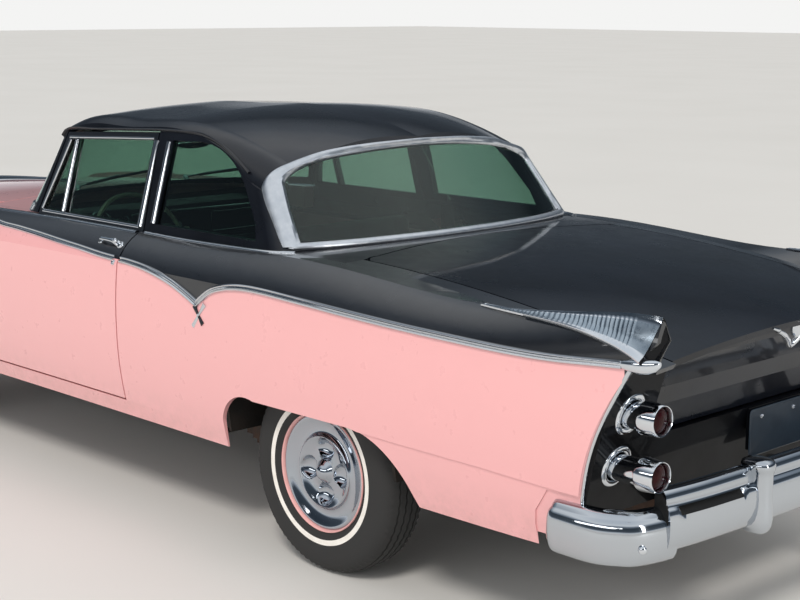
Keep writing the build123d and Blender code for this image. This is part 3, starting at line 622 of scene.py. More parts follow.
def swept(path: Line, ups: Sequence, section: Sequence[Pair], closed: bool = False,
          scale: Callable[[float], Pair] | None = None) -> Shape:
    """Sweep a closed section along a path.

    Args:
        path: the points of the path.
        ups: the direction away from the surface at each point, or one for all.
        section: pairs of distance across and distance away from the surface.
        closed: whether the path returns to its start.
        scale: factors across and away for the share of the path passed.

    Returns:
        The swept shape.
    """
    rows, count = [], len(path)
    path = [Vector(p) for p in path]
    if not isinstance(ups[0], Vector):
        ups = [Vector(ups)] * count
    for i, (point, up) in enumerate(zip(path, ups)):
        before = path[i - 1] if closed or i else path[0]
        after = path[(i + 1) % count] if closed or i + 1 < count else path[-1]
        ahead = (after - before).normalized()
        up = (up - ahead * up.dot(ahead)).normalized()
        across = ahead.cross(up)
        wide, high = scale(i / max(1, count - 1)) if scale else (1.0, 1.0)
        rows.append([point + across * (u * wide) + up * (v * high) for u, v in section])
    return Shape().skin(rows, around=True, along=closed, caps=not closed)


def crowned(width: float, height: float, sunk: float = 0.002, steps: int = 6) -> list[Pair]:
    """The section of a strip, crowned above and flat at a depth under the surface."""
    arc = [(-width / 2 * cos(pi * k / steps), height * sin(pi * k / steps)) for k in range(steps + 1)]
    return [(width / 2, -sunk), (-width / 2, -sunk)] + arc


def oval(wide: float, high: float, steps: int = 14) -> list[Pair]:
    """The section of a rod, by its half width and half height."""
    return [(wide * cos(2 * pi * k / steps), high * sin(2 * pi * k / steps)) for k in range(steps)]


def oblong(ys: Pair, zs: Pair, corner: float, steps: int, radius: float | None = None) -> list[Pair]:
    """A rectangle across the car with round corners.

    Args:
        ys: its lower and upper y.
        zs: its lower and upper z.
        corner: the distance of the corners' middles from the edges.
        steps: the pieces of each corner.
        radius: the corners' radius where it differs from that distance.

    Returns:
        Pairs of y and z, from the upper corner with the greater y.
    """
    (y0, y1), (z0, z1), line = ys, zs, []
    for y, z, start in ((y1 - corner, z1 - corner, 0), (y0 + corner, z1 - corner, 1),
                        (y0 + corner, z0 + corner, 2), (y1 - corner, z0 + corner, 3)):
        for k in range(steps + 1):
            t, r = pi / 2 * (start + k / steps), corner if radius is None else radius
            line.append((y + r * cos(t), z + r * sin(t)))
    return line


class Skin:
    """The outer skin of some CAD nodes, to lay trim on."""

    def __init__(self, *names: str) -> None:
        """Gather the nodes' faces.

        Args:
            names: the CAD nodes.
        """
        points: list = []
        faces: list = []
        for name in names:
            mesh = NODES[name].data
            base = len(points)
            points += [v.co.copy() for v in mesh.vertices]
            faces += [[base + i for i in p.vertices] for p in mesh.polygons]
        self.tree = BVHTree.FromPolygons(points, faces)

    def hit(self, start: Spot, way: Spot) -> tuple[Vector, Vector] | None:
        """Cast a ray.

        Args:
            start: where it starts.
            way: its direction.

        Returns:
            The first point that it meets and the normal there, or None.
        """
        spot, normal, _, _ = self.tree.ray_cast(Vector(start), Vector(way).normalized())
        if spot is None:
            return None
        return spot, (normal if normal.dot(Vector(way)) < 0 else -normal)

    def lay(self, starts: Line, way: Spot) -> tuple[list[Vector], list[Vector]]:
        """Cast points onto the skin, and give the points found and their normals."""
        found = [f for f in (self.hit(start, way) for start in starts) if f]
        return [f[0] for f in found], [f[1] for f in found]


def smoothed(normals: Sequence[Vector], reach: int = 3) -> list[Vector]:
    """Normals averaged with their neighbours along a line."""
    return [sum((normals[max(0, min(len(normals) - 1, i + k))] for k in range(-reach, reach + 1)),
                Vector()).normalized() for i in range(len(normals))]


# Sub-assemblies


@dataclass
class Studio:
    """The plain pale room: floor, soft lamps and backdrop."""

    reach: float = 90.0
    floor_colour: str = "#DEDDDA"
    # What the eye sees beyond the floor, and what polished surfaces mirror. Columns: height, colour
    wall: tuple[tuple[float, str], ...] = ((0.0, "#F4F4F3"), (0.5, "#E9EAEB"), (1.0, "#DADCDE"))
    mirrored: tuple[tuple[float, str], ...] = (
        (0.0, "#EDEEEF"), (0.04, "#B4BAC1"), (0.1, "#4E5760"), (0.38, "#39424B"), (0.56, "#8C96A1"),
        (0.76, "#EEF1F4"), (1.0, "#D3DAE1"),
    )
    key: float = 1.66
    fill: float = 0.78
    key_angle: float = 14.0
    key_way: Place = (0.42, -0.62, -0.8)
    strip_watts: float = 90.0

    def floor(self) -> None:
        """A wide floor of pale matt paint."""
        mesh = bpy.data.meshes.new("studio_floor")
        r = self.reach
        mesh.from_pydata([(-r, -r, 0), (r, -r, 0), (r, r, 0), (-r, r, 0)], [], [(0, 1, 2, 3)])
        finish = Finish("floor_matt_paint", self.floor_colour, "#D6D5D1", patch=2500, amount=0.4,
                        roughness=0.8)
        mesh.materials.append(finish.make())
        thing = placed("studio_floor", mesh)

    def backdrop(self) -> None:
        """A world that is pale at the horizon and greyer overhead."""
        world = bpy.data.worlds.new("studio_backdrop")
        bpy.context.scene.world = world
        world.use_nodes = True
        tree = world.node_tree
        tree.nodes.clear()
        way = add(tree, "TexCoord").outputs["Generated"]
        rise = add(tree, "SeparateXYZ", links={0: way}).outputs[2]
        seen = add(tree, "LightPath")
        wall = self.gradient(tree, rise, self.wall)
        mirrored = self.gradient(tree, rise, self.mirrored)
        glossy = seen.outputs["Is Glossy Ray"]
        both = add(tree, "Mix", links={0: glossy, 6: wall, 7: mirrored}, data_type="RGBA")
        sight = add(tree, "Math", links={0: seen.outputs["Is Camera Ray"], 1: glossy}, operation="MAXIMUM")
        sight = add(tree, "Math", links={0: sight, 1: seen.outputs["Is Transmission Ray"]},
                    operation="MAXIMUM")
        strength = add(tree, "MapRange", {1: 0.0, 2: 1.0, 3: self.fill, 4: 1.0}, {0: sight})
        light = add(tree, "Background", links={0: both.outputs[2], 1: strength})
        add(tree, "OutputWorld", links={0: light})

    def gradient(self, tree: Tree, rise: Socket, stops: Sequence[tuple[float, str]]) -> Socket:
        """A colour that changes with height above the horizon.

        Args:
            tree: the node tree.
            rise: the upward share of the direction looked in.
            stops: pairs of height and colour.

        Returns:
            The colour socket.
        """
        ramp = add(tree, "ValToRGB", links={0: rise})
        elements = ramp.color_ramp.elements
        while len(elements) < len(stops):
            elements.new(0.5)
        for element, (height, colour) in zip(elements, stops):
            element.position = height
            element.color = linear(colour)
        return ramp.outputs[0]

    def lamp(self, name: str, place: Place, aim: Place, size: Pair, watts: float) -> None:
        """Hang one soft box.

        Args:
            name: the lamp's name.
            place: where it hangs.
            aim: the point that it faces.
            size: its width and height.
            watts: its power.
        """
        light = bpy.data.lights.new(name, "AREA")
        light.shape = "RECTANGLE"
        light.size, light.size_y = size
        light.energy = watts
        thing = placed(name, light)
        thing.location = place
        thing.rotation_euler = (Vector(aim) - Vector(place)).to_track_quat("-Z", "Y").to_euler()

    def sun(self) -> None:
        """A broad soft key from behind the camera's left, unseen in the mirrors of the chrome."""
        light = bpy.data.lights.new("key_broad", "SUN")
        light.energy = self.key
        light.angle = radians(self.key_angle)
        light.color = linear("#FFF9F2")[:3]
        thing = placed("key_broad", light)
        thing.rotation_euler = Vector(self.key_way).to_track_quat("-Z", "Y").to_euler()
        thing.visible_glossy = False

    def build(self) -> None:
        """Set up the whole room."""
        self.floor()
        self.backdrop()
        self.sun()
        self.lamp("strip_left", (-2.0, 7.5, 3.4), (-0.8, 0.6, 0.9), (9.0, 0.8), self.strip_watts)
        self.lamp("strip_rear", (-8.5, 0.5, 3.0), (-2.0, 0.0, 0.7), (0.7, 5.0), self.strip_watts)


@dataclass
class PhotoCamera:
    """The camera behind the left rear corner, as the photograph was taken."""

    place: Place = (-5.2158, 4.3082, 1.9305)
    yaw: float = -0.768188
    pitch: float = -0.182873
    roll: float = 0.003761
    focal: float = 1610.42
    frame_width: float = 800.0

    def build(self) -> None:
        """Make the camera and give it to the scene."""
        ahead = Vector((cos(self.yaw) * cos(self.pitch), sin(self.yaw) * cos(self.pitch), sin(self.pitch)))
        right = ahead.cross(Vector((0, 0, 1))).normalized()
        up = right.cross(ahead)
        c, s = cos(self.roll), sin(self.roll)
        right, up = right * c + up * s, up * c - right * s
        data = bpy.data.cameras.new("photo_camera")
        data.sensor_width = 36.0
        data.lens = self.focal * 36.0 / self.frame_width
        thing = placed("photo_camera", data)
        matrix = Matrix((right, up, -ahead)).transposed().to_4x4()
        matrix.translation = Vector(self.place)
        thing.matrix_world = matrix
        bpy.context.scene.camera = thing


@dataclass
class Panels:
    """The CAD panels that keep their shape and get their finish."""

    def build(self) -> None:
        """Give each kept node its finish."""
        for finish, names in (
            (Paints.pink, "front_fender_left front_fender_right rocker_panels hood cowl front_panel"),
            (Paints.two_tone, "quarter_panel_left quarter_panel_right door_left door_right"),
            (Paints.black, "roof deck_panel trunk_lid"),
            # The tail panel takes the darker black: painted shade
            (Paints.tail_black, "tail_panel"),
            (Paints.glass, "windshield rear_window quarter_glass door_glass_left door_glass_right"),
            (Paints.chrome, "front_bumper rear_bumper grille"),
            (Paints.underseal, "floor_pan wheelhouses"),
            (Paints.steel, "chassis rear_axle knuckle_left knuckle_right exhaust fuel_tank"),
            (Paints.iron, "engine_block"),
        ):
            for name in names.split():
                NODES[name].data.materials.clear()
                NODES[name].data.materials.append(finish.make())


@dataclass
class SpearTrim:
    """The bright strip that parts the two colours, in two beads with a groove."""

    width: float = 0.026
    height: float = 0.01

    def section(self) -> list[Pair]:
        """Two rounded beads with a groove between them.

        Returns:
            Pairs of distance across and distance away from the panel.
        """
        w, h = self.width / 2, self.height
        return [(w, -0.002), (-w, -0.002), (-w, 0.3 * h), (-0.8 * w, 0.85 * h), (-0.55 * w, h),
                (-0.28 * w, 0.75 * h), (-0.12 * w, 0.35 * h), (0.12 * w, 0.35 * h), (0.28 * w, 0.75 * h),
                (0.55 * w, h), (0.8 * w, 0.85 * h), (w, 0.3 * h)]

    def build(self) -> None:
        """Lay the strip on the door and on the quarter panel, each side."""
        line = [(x, 0, z) for x, z in SPEAR]
        corner = next(i for i, (x, z) in enumerate(SPEAR) if z < 0.88)
        marks = rounded(line[:corner + 1], 5)[:-1] + rounded(line[corner:], 5)
        for name, node, body, low, high in (("door", "door_left", "door", -0.168, 0.968),
                                            ("quarter", "quarter_panel_left", "body", -2.556, -0.188)):
            path, ups = Skin(node).lay([(p.x, 2.0, p.z) for p in marks if low <= p.x <= high], (0, -1, 0))
            swept(path, smoothed(ups), self.section()).both(f"spear_trim_{name}", Paints.stainless, body)


@dataclass
class Strip:
    """A strip along traced points on the left side, and its mirror. Lengths are in millimetres."""

    name: str
    nodes: tuple[str, ...]
    points: tuple[Place, ...]
    width: float
    height: float
    body: str = "body"
    way: Place = (0, -1, 0)
    finish: Finish = Paints.stainless
    reach: float = 250
    near: float = 90

    def build(self) -> None:
        """Cast the points onto the skin and sweep the strip."""
        skin = Skin(*self.nodes)
        way = Vector(self.way).normalized()
        (reach, near, wide, high), = mm((self.reach, self.near, self.width, self.height))
        found = [(p, skin.hit(p - way * reach, way)) for p in rounded(mm(*self.points))]
        kept = [f for p, f in found if f and (f[0] - p).length < near]
        swept([f[0] for f in kept], smoothed([f[1] for f in kept]), crowned(wide, high)).both(
            self.name, self.finish, self.body, angle=50)


SLOPE = (0, -0.6, -0.8)
STRIPS = (
    # The bright belt under the windows, on the cowl, the door and the quarter panel
    Strip("belt_strip_cowl", ("cowl", "front_fender_left"), ((1085, 742, 1050), (1000, 760, 1050)), 20,
          6, way=SLOPE),
    Strip("belt_strip_door", ("door_left",), ((966, 790, 1060), (600, 790, 1060), (200, 790, 1060),
          (-128, 790, 1060)), 22, 7, "door", SLOPE),
    Strip("belt_strip_quarter", ("quarter_panel_left",), ((-150, 790, 1060), (-400, 790, 1060),
          (-700, 790, 1064), (-880, 789, 1068), (-970, 765, 1070), (-1040, 715, 1070),
          (-1090, 640, 1072)), 22, 7, "body", SLOPE),
    # Vent window, door window and the posts between the panes
    Strip("vent_front_strip", ("door_left",), ((583, 760, 1088), (530, 720, 1225), (474, 680, 1374)), 16,
          6, "door"),
    Strip("vent_bar", ("door_left",), ((424, 760, 1088), (426, 720, 1225), (428, 680, 1376)), 20, 9,
          "door"),
    Strip("door_window_top_strip", ("door_left",), ((484, 700, 1382.5), (412, 700, 1386),
          (150, 690, 1400), (-96, 690, 1412)), 11, 4, "door"),
    Strip("door_window_rear_strip", ("door_left",), ((-112, 760, 1080), (-112, 720, 1250),
          (-110, 680, 1405)), 26, 6, "door"),
    Strip("door_window_sill_strip", ("door_left",), ((575, 760, 1078), (200, 760, 1078),
          (-110, 760, 1078)), 14, 4, "door"),
    Strip("quarter_window_strip", ("roof", "quarter_glass", "quarter_panel_left"), ((-192, 760, 1100),
          (-191, 720, 1250), (-190, 680, 1405)), 22, 6),
    Strip("drip_rail", ("roof",), ((575, 700, 1345), (508, 700, 1412), (290, 700, 1425), (80, 700, 1436),
          (-140, 690, 1446), (-300, 690, 1447.5), (-400, 690, 1438), (-510, 690, 1410),
          (-620, 690, 1366), (-700, 690, 1325)), 11, 12, finish=Paints.black),
    Strip("windshield_post_strip", ("roof",), ((668, 790, 1075), (642, 760, 1120), (586, 700, 1280),
          (556, 680, 1375)), 20, 7),
)


@dataclass
class Greenhouse:
    """All bright work round the windows, and the wide frame of the rear window."""

    # Edge of the glass and outer edge of the bright frame, foot to middle. Columns: x, y, z
    glass_edge: tuple[Place, ...] = mm(
        (-985, 692, 1086), (-960, 687, 1112), (-938, 679, 1138), (-915, 673, 1169), (-892, 667, 1202),
        (-865, 657, 1241), (-843, 648, 1274), (-828, 641, 1298), (-822, 614, 1320), (-824, 563, 1343),
        (-830, 500, 1360), (-839, 420, 1374), (-856, 250, 1389), (-864, 110, 1395), (-866, 0, 1396),
    )
    outer_edge: tuple[Place, ...] = mm(
        (-942, 747, 1088), (-922, 744, 1110), (-904, 740, 1130), (-878, 734, 1160), (-850, 728, 1192),
        (-820, 722, 1226), (-795, 713, 1256), (-776, 702, 1286), (-779, 675, 1322), (-789, 625, 1350),
        (-799, 545, 1375), (-817, 440, 1398), (-838, 260, 1412), (-852, 115, 1418), (-854, 0, 1419),
    )
    # Foot of the rear window. Columns: x, y, z
    foot: tuple[Place, ...] = mm(
        (-905, 742, 1085), (-948, 722, 1088), (-985, 685, 1092), (-1024, 600, 1094), (-1062, 480, 1096),
        (-1092, 330, 1098), (-1112, 170, 1099), (-1120, 0, 1100),
    )
    # Section of the frame. Columns: share of the way from the glass to the roof, height
    band: tuple[Pair, ...] = (
        (0.0, -0.006), (0.0, 0.004), (0.06, 0.0065), (0.14, 0.007), (0.22, 0.005), (0.34, 0.006),
        (0.5, 0.008), (0.68, 0.0085), (0.82, 0.0075), (0.93, 0.005), (1.0, 0.0015), (1.0, -0.004),
    )

    def frame_of_rear_window(self) -> Shape:
        """Lay the crowned band between the glass and the roof.

        Returns:
            The band, over both sides.
        """
        skin = Skin("roof", "rear_window")
        spots, lifts, outs = [], [], []
        for low, high in zip(rounded(self.glass_edge, 8), rounded(self.outer_edge, 8)):
            middle = low.lerp(high, 0.5)
            out = Vector((middle.x + 0.45, middle.y, (middle.z - 0.75) * 0.9)).normalized()
            row = [low.lerp(high, s) for s, _ in self.band]
            lift = []
            for spot in row:
                found = skin.hit(spot + out * 0.1, -out)
                above = (found[0] - spot).dot(out) if found else 0.0
                lift.append(above if abs(above) < 0.03 else 0.0)
            spots.append(row)
            lifts.append(lift)
            outs.append(out)
        rows, last = [], len(spots) - 1
        for i, (row, out) in enumerate(zip(spots, outs)):
            near = [lifts[max(0, min(last, i + k))] for k in range(-4, 5)]
            rows.append([spot + out * (max(0.0, sum(lift[j] for lift in near) / 9) + self.band[j][1])
                         for j, spot in enumerate(row)])
        other = [[Vector((p.x, -p.y, p.z)) for p in row] for row in reversed(rows)][1:]
        return Shape().skin(list(reversed(rows + other)))

    def build(self) -> None:
        """Lay all strips, then the rear window's frame and foot."""
        for strip in STRIPS:
            strip.build()
        self.frame_of_rear_window().thing("rear_window_frame", Paints.satin, angle=35)
        half = rounded(self.foot, 8)
        path = half + [Vector((p.x, -p.y, p.z)) for p in reversed(half)][1:]
        ups = [Vector((-0.55, 0.25 * (1 if p.y > 0 else -1) * min(1, abs(p.y) / 0.5), 0.75)) for p in path]
        swept(path, ups, crowned(0.03, 0.01, 0.006)).thing("rear_window_foot_strip", Paints.satin, angle=50)


@dataclass
class TailTrim:
    """Bright work on the tail: rear beads, number plate and ornament."""

    # The bead on the quarter panel's rear edge. Columns: x, y, z
    bead: tuple[Place, ...] = mm(
        (-2590, 883, 965), (-2570, 883, 940), (-2550, 884, 905), (-2526, 888, 860), (-2495, 890.5, 800),
        (-2469, 893, 740), (-2448, 892.5, 680), (-2432, 889.5, 620), (-2420, 884.5, 560),
        (-2417, 880, 530),
    )
    plate_x: float = -2.48
    plate_half: float = 0.1525
    plate_z: Pair = (0.536, 0.688)
    plate_corner: float = 0.016
    bolt: Pair = (0.0889, 0.66)
    # The chevron's left arm from its end to the middle, and the boss. Columns: y, z
    wing: tuple[Pair, ...] = mm((150, 958), (110, 944), (70, 926), (34, 904), (0, 880))
    boss_z: float = 0.935

    def plate(self) -> None:
        """A blank pressed number plate with its two bolts."""
        x, half, corner = self.plate_x, self.plate_half, self.plate_corner
        rows = [[(x - out, y, z)
                 for y, z in oblong((-half, half), self.plate_z, corner, 6, corner - inset * 0.6)]
                for inset, out in ((0.0, 0.0), (0.0, 0.0016), (0.004, 0.003), (0.008, 0.003), (0.011, 0.0018),
                                   (0.014, 0.0016))]
        solid(rows).thing("number_plate_blank", Paints.plate, angle=60)
        Shape().lathe(mm((0, 8), (3, 7.5), (5.5, 5), (6, 0)), (x - 0.0015, *self.bolt),
                      (-1, 0, 0), 20).both("plate_bolt", Paints.pitted)

    def ornament(self) -> None:
        """A plain chevron with an oval boss on the trunk lid's rear edge."""
        skin = Skin("trunk_lid")
        marks = [(0, y, z) for y, z in self.wing]
        line = rounded(marks + [(0, -y, z) for _, y, z in reversed(marks)][1:])
        path, ups = skin.lay([(-3.2, p.y, p.z) for p in line], (1, 0, 0))
        swept(path, smoothed(ups), crowned(0.022, 0.011), scale=self.taper).thing(
            "lid_chevron", Paints.chrome, "trunk_lid", angle=50)
        middle, out = skin.hit((-3.2, 0.0, self.boss_z), (1, 0, 0))
        boss = mm((-4, 24), (4, 24), (7, 21), (6, 18), (9, 10), (10, 0))
        Shape().lathe(boss, middle, out, 48, warp=self.widened).thing(
            "lid_boss", Paints.chrome, "trunk_lid", angle=40)

    def widened(self, a: float, r: float, t: float) -> Pair:
        """The boss is wider than it is high."""
        return a, r * (1.0 + 0.45 * cos(t) ** 2)

    def taper(self, share: float) -> Pair:
        """The chevron's arms narrow towards their ends."""
        wide = 0.35 + 0.65 * sin(pi * share) ** 0.7
        return wide, wide

    def build(self) -> None:
        """Fit the tail."""
        swept(rounded(self.bead, 5), (-0.6, 0.8, 0.0), oval(0.0065, 0.0065, 12)).both(
            "tail_bead", Paints.stainless, angle=60)
        self.plate()
        self.ornament()


@dataclass
class Wheels:
    """The places of the four wheels."""

    wheel_y: float = 0.75
    wheel_z: float = 0.355
    axles: tuple[tuple[str, float], ...] = (("front", 1.8175), ("rear", -1.2305))


@dataclass
class Tyres(Wheels):
    """Cross-ply tyres with a narrow white ring, a zigzag tread and notched shoulders."""

    steps: int = 240
    zigzags: int = 60
    sway: float = 0.0024
    notches: int = 80
    notch_deep: float = 0.0035
    # Outer wall from the bead to the shoulder. Columns: out from the middle, radius
    wall: tuple[Pair, ...] = mm(
        (56, 202), (74, 209), (77, 216), (83.5, 222), (88, 231), (89.6, 232.5), (90.8, 251), (90, 252.2),
        (91.8, 264), (92.5, 281), (91.5, 299), (88, 316), (82.5, 329), (76.5, 338), (70, 344),
    )
    # The strip of the wall, counted from the bead, that is white
    white: int = 5
    grooves: tuple[float, ...] = (0.042, 0.014, -0.014, -0.042)

    def crown(self, a: float) -> float:
        """The tread's radius at a distance from the middle of the tyre."""
        return 0.355 - 1.7 * a * a

    def tread(self) -> list[Pair]:
        """The tread from the outer shoulder to the inner one, with its grooves.

        Returns:
            Pairs of distance from the middle of the tyre and radius.
        """
        line = [(0.062, self.crown(0.062))]
        for middle in self.grooves:
            for shift, deep in ((0.0042, 0), (0.003, 0.007), (-0.003, 0.007), (-0.0042, 0)):
                line.append((middle + shift, self.crown(middle + shift) - deep))
        return line + [(-0.062, self.crown(0.062))]

    def warp(self, a: float, r: float, t: float) -> Pair:
        """Sway the grooves from side to side and notch the shoulders.

        Args:
            a: the distance from the middle of the tyre.
            r: the radius.
            t: the angle around.

        Returns:
            The distance and radius to use instead.
        """
        if abs(a) < 0.055 and r > 0.335:
            phase = (t * self.zigzags / (2 * pi)) % 1.0
            return a + self.sway * (4 * abs(phase - 0.5) - 1), r
        if 0.06 < abs(a) < 0.08 and r > 0.325 and (t * self.notches / (2 * pi)) % 1.0 < 0.34:
            return a, r - self.notch_deep
        return a, r

    def build(self) -> None:
        """Turn the four tyres."""
        profile = list(self.wall) + self.tread() + [(-a, r) for a, r in reversed(self.wall)]
        marks = [int(i == self.white) for i in range(len(profile) - 1)]
        for end, x in self.axles:
            middle = (x, self.wheel_y, self.wheel_z)
            Shape().lathe(profile, middle, (0, 1, 0), self.steps, marks, self.warp).both(
                f"ribbed_tyre_{end}", (Paints.tyre, Paints.white_wall), f"wheel_{end}", [f"tyre_{end}"],
                angle=30, slot="tyre_rubber")


@dataclass
class WheelCovers(Wheels):
    """Full chromium covers with a stepped dish, four hollows and a cone, on enamelled rims."""

    steps: int = 144
    hollows: int = 4
    hollow_deep: float = 0.024
    hollow_middle: float = 0.08
    hollow_radius: float = 0.0405
    recess: float = 0.014
    # Face from the rim to the step, and the cone. Columns: out from the middle, radius
    outer_face: tuple[Pair, ...] = mm(
        (70, 199), (79, 200.5), (84, 198.8), (86.2, 195.2), (85.8, 190.8), (83.5, 185.5), (79.5, 178.2),
        (75.2, 169), (71.5, 158.5), (69.5, 149), (69.2, 141), (70.5, 135), (74, 131), (79, 128.5),
        (82.8, 126.5), (84.2, 123.5), (83.2, 120.5),
    )
    cone: tuple[Pair, ...] = mm(
        (74, 43), (78, 39.5), (82.5, 34.5), (90, 28), (97.5, 21.5), (102.2, 14.5), (104.3, 7.5),
        (104.8, 0),
    )
    rim: tuple[Pair, ...] = mm(
        (-60, 185), (-72, 200), (-79, 205), (-79, 211), (-74, 211), (-68, 196), (50, 196), (64, 199.6),
        (74, 201.6), (78.5, 203.4), (80.2, 205.8), (79.4, 208.2), (76, 209.8), (70, 206),
    )
    web: tuple[Pair, ...] = mm((-20, 30), (-20, 60), (12, 75), (12, 150), (-50, 190))

    def dish(self) -> list[Pair]:
        """The dish between the step and the cone, in fine steps for the hollows."""
        return [(0.082 - 0.008 * k / 24 - 0.0085 * sin(pi * k / 24), 0.118 - 0.0735 * k / 24)
                for k in range(25)]

    def hollow(self, a: float, r: float, t: float) -> Pair:
        """Press round hollows between the step and the cone.

        Args:
            a: the distance out.
            r: the radius.
            t: the angle around.

        Returns:
            The distance and radius to use instead.
        """
        turn = 2 * pi / self.hollows
        off = (t + pi / 4 + turn / 2) % turn - turn / 2
        far = hypot(r * cos(off) - self.hollow_middle, r * sin(off)) / self.hollow_radius
        if far >= 1.0 or not 0.044 < r < 0.1185:
            return a, r
        return a - self.hollow_deep * (1 - far ** 3.5), r

    def build(self) -> None:
        """Turn the four rims and their covers."""
        face = list(self.outer_face) + self.dish() + list(self.cone)
        for end, x in self.axles:
            middle, wheel = (x, self.wheel_y, self.wheel_z), f"wheel_{end}"
            # The covers take the darker chromium: painted shade in their tint
            Shape().lathe(face, (x, self.wheel_y - self.recess, self.wheel_z), (0, 1, 0), self.steps,
                          warp=self.hollow).both(f"wheel_cover_{end}", Paints.cover_chrome, wheel, [wheel],
                                                 slot="bright_chrome")
            Shape().lathe(self.rim, middle, (0, 1, 0), self.steps).both(
                f"rim_{end}", Paints.rim_enamel, wheel)
            Shape().lathe(self.web, middle, (0, 1, 0), self.steps // 2).both(
                f"wheel_web_{end}", Paints.steel, wheel)


@dataclass
class Bumper:
    """A bowed bumper: a crowned bar, wings round the corners, guards, bolts and brackets."""

    end: int
    tip: float = 2.6935
    half: float = 0.946
    reach: float = 2.3175
    guard_y: float = 0.34
    pull: float = 0.018
    # Section of the centre bar. Columns: height, out from the base line
    bar: tuple[Pair, ...] = mm(
        (404, -28), (400, -16), (402, 0), (409, 12), (422, 21.5), (442, 27.5), (466, 30), (490, 30),
        (512, 28.5), (526, 25.5), (533, 20.5), (536, 14), (541, 11.5), (556, 11), (570, 8.5), (579, 2),
        (584, -8), (585, -20), (583, -30),
    )
    wing: tuple[Pair, ...] = mm(
        (374, -28), (370, -14), (374, 2), (383, 13.5), (398, 22), (418, 27.5), (440, 30), (462, 30),
        (482, 28), (497, 24), (504.5, 19), (508.5, 13), (513, 8.5), (520, 4), (526.5, -4), (530, -14),
        (530, -28),
    )
    stay: tuple[Pair, ...] = mm((440, 420), (500, 420), (500, 480), (440, 480))
    gasket: tuple[Pair, ...] = mm((398, -20), (398, 4), (440, 24.5), (530, 22.5), (560, 8), (582, -10))
    # The guard from its foot up. Columns: height, half width, reach out
    guard_rows: tuple[Place, ...] = mm(
        (374, 4, 10), (377, 17, 34), (386, 27, 48), (402, 33, 56), (424, 35, 59), (450, 34, 58),
        (480, 33, 56), (520, 33, 55), (555, 34, 55), (570, 36, 56), (577, 42, 59), (590, 44, 60),
        (600, 40, 56), (606.5, 26, 40), (609, 4, 10),
    )

    def line(self, inset: float, low: float, high: float) -> list[Vector]:
        """The base line in plan, between two distances from the middle of the car.

        Args:
            inset: how far the line lies inside the outer face.
            low: the distance along the line where it starts.
            high: the distance along the line where it ends.

        Returns:
            Evenly spaced points from the middle towards the tip of the wing.
        """
        t, h = self.tip - inset - self.pull, self.half - inset
        marks = [(t, -0.2, 0), (t, 0, 0), (t - 0.003, 0.21, 0), (t - 0.011, 0.42, 0), (t - 0.02, 0.6, 0),
                 (t - 0.038, 0.752, 0), (t - 0.063, 0.835, 0), (t - 0.098, h - 0.04, 0),
                 (t - 0.145, h - 0.012, 0), (t - 0.205, h - 0.002, 0), (t - 0.29, h - 0.003, 0),
                 (self.reach, h - 0.006, 0), (self.reach - 0.1, h - 0.009, 0)]
        dense = rounded(marks, 14)
        run, walked = [0.0], 0.0
        for p, q in zip(dense, dense[1:]):
            walked += (q - p).length
            run.append(walked)
        base = run[14]
        high = min(high, run[14 * (len(marks) - 2)] - base)
        steps = max(2, int((high - low) / 0.011))
        points = []
        for k in range(steps + 1):
            want = base + low + (high - low) * k / steps
            i = max(j for j in range(len(run) - 1) if run[j] <= want + 1e-9)
            share = (want - run[i]) / (run[i + 1] - run[i])
            points.append(dense[i].lerp(dense[i + 1], share))
        return points

    def blade(self, section: Sequence[Pair], inset: float, low: float, high: float,
              shape: Callable[[float, float, float], float] | None = None) -> Shape:
        """Sweep a section along the base line and close it behind.

        Args:
            section: pairs of height and distance out.
            inset: how far the base line lies inside the outer face.
            low: where the blade starts along the line.
            high: where it ends.
            shape: a change of the distance out, by y, height and the share of the line passed.

        Returns:
            The blade.
        """
        points = self.line(inset, max(low, 0.0), high)
        if low < 0:
            points = [Vector((p.x, -p.y, p.z)) for p in reversed(self.line(inset, 0.0, -low))][:-1] + points
        rows = []
        for i, p in enumerate(points):
            ahead = (points[min(i + 1, len(points) - 1)] - points[max(0, i - 1)]).normalized()
            out = Vector((ahead.y, -ahead.x, 0))
            ring = []
            for z, far in list(section) + [(z, -0.032) for z, _ in reversed(section)]:
                far += shape(p.y, z, i / (len(points) - 1)) if shape and far > -0.031 else 0.0
                q = p + out * far
                ring.append((q.x * self.end, q.y, z))
            rows.append(ring if self.end < 0 else list(reversed(ring)))
        return solid(rows)

    def slot(self, y: float, z: float, _: float) -> float:
        """The long slot in the bar between its guard and its joint.

        Args:
            y: the distance from the middle of the car.
            z: the height.

        Returns:
            How far the face moves out.
        """
        if 0.425 < abs(y) < 0.715 and 0.515 < z < 0.535:
            return -0.024 * min(1.0, (abs(y) - 0.425) / 0.02, (0.715 - abs(y)) / 0.02)
        return 0.0

    def tuck(self, _: float, z: float, share: float) -> float:
        """The wing's tip rounded towards the body."""
        return -0.022 * max(0.0, (share - 0.955) / 0.045) ** 2

    def guard(self) -> Shape:
        """An upright guard with a flared cap and a rounded foot.

        Returns:
            The guard on the left.
        """
        rows = []
        for z, half, out in self.guard_rows:
            ring = []
            for c, s in oval(1.0, 1.0, 40):
                reach = out * abs(c) ** 0.8 * (1 if c > 0 else -0.7)
                wide = half * abs(s) ** 0.8 * (1 if s > 0 else -1)
                ring.append((self.end * (self.tip - 0.06 + reach), self.guard_y + wide, z))
            rows.append(ring if self.end > 0 else list(reversed(ring)))
        return solid(rows)

    def bolt(self) -> Shape:
        """A round bolt head on the wing."""
        return Shape().lathe(
            mm((-12, 12.5), (0.5, 12.5), (3, 12), (6, 9.5), (7.8, 5), (8.3, 0)),
            (self.end * (self.tip - self.pull - 0.068), 0.845, 0.432), (self.end * 0.78, 0.62, 0), 28)

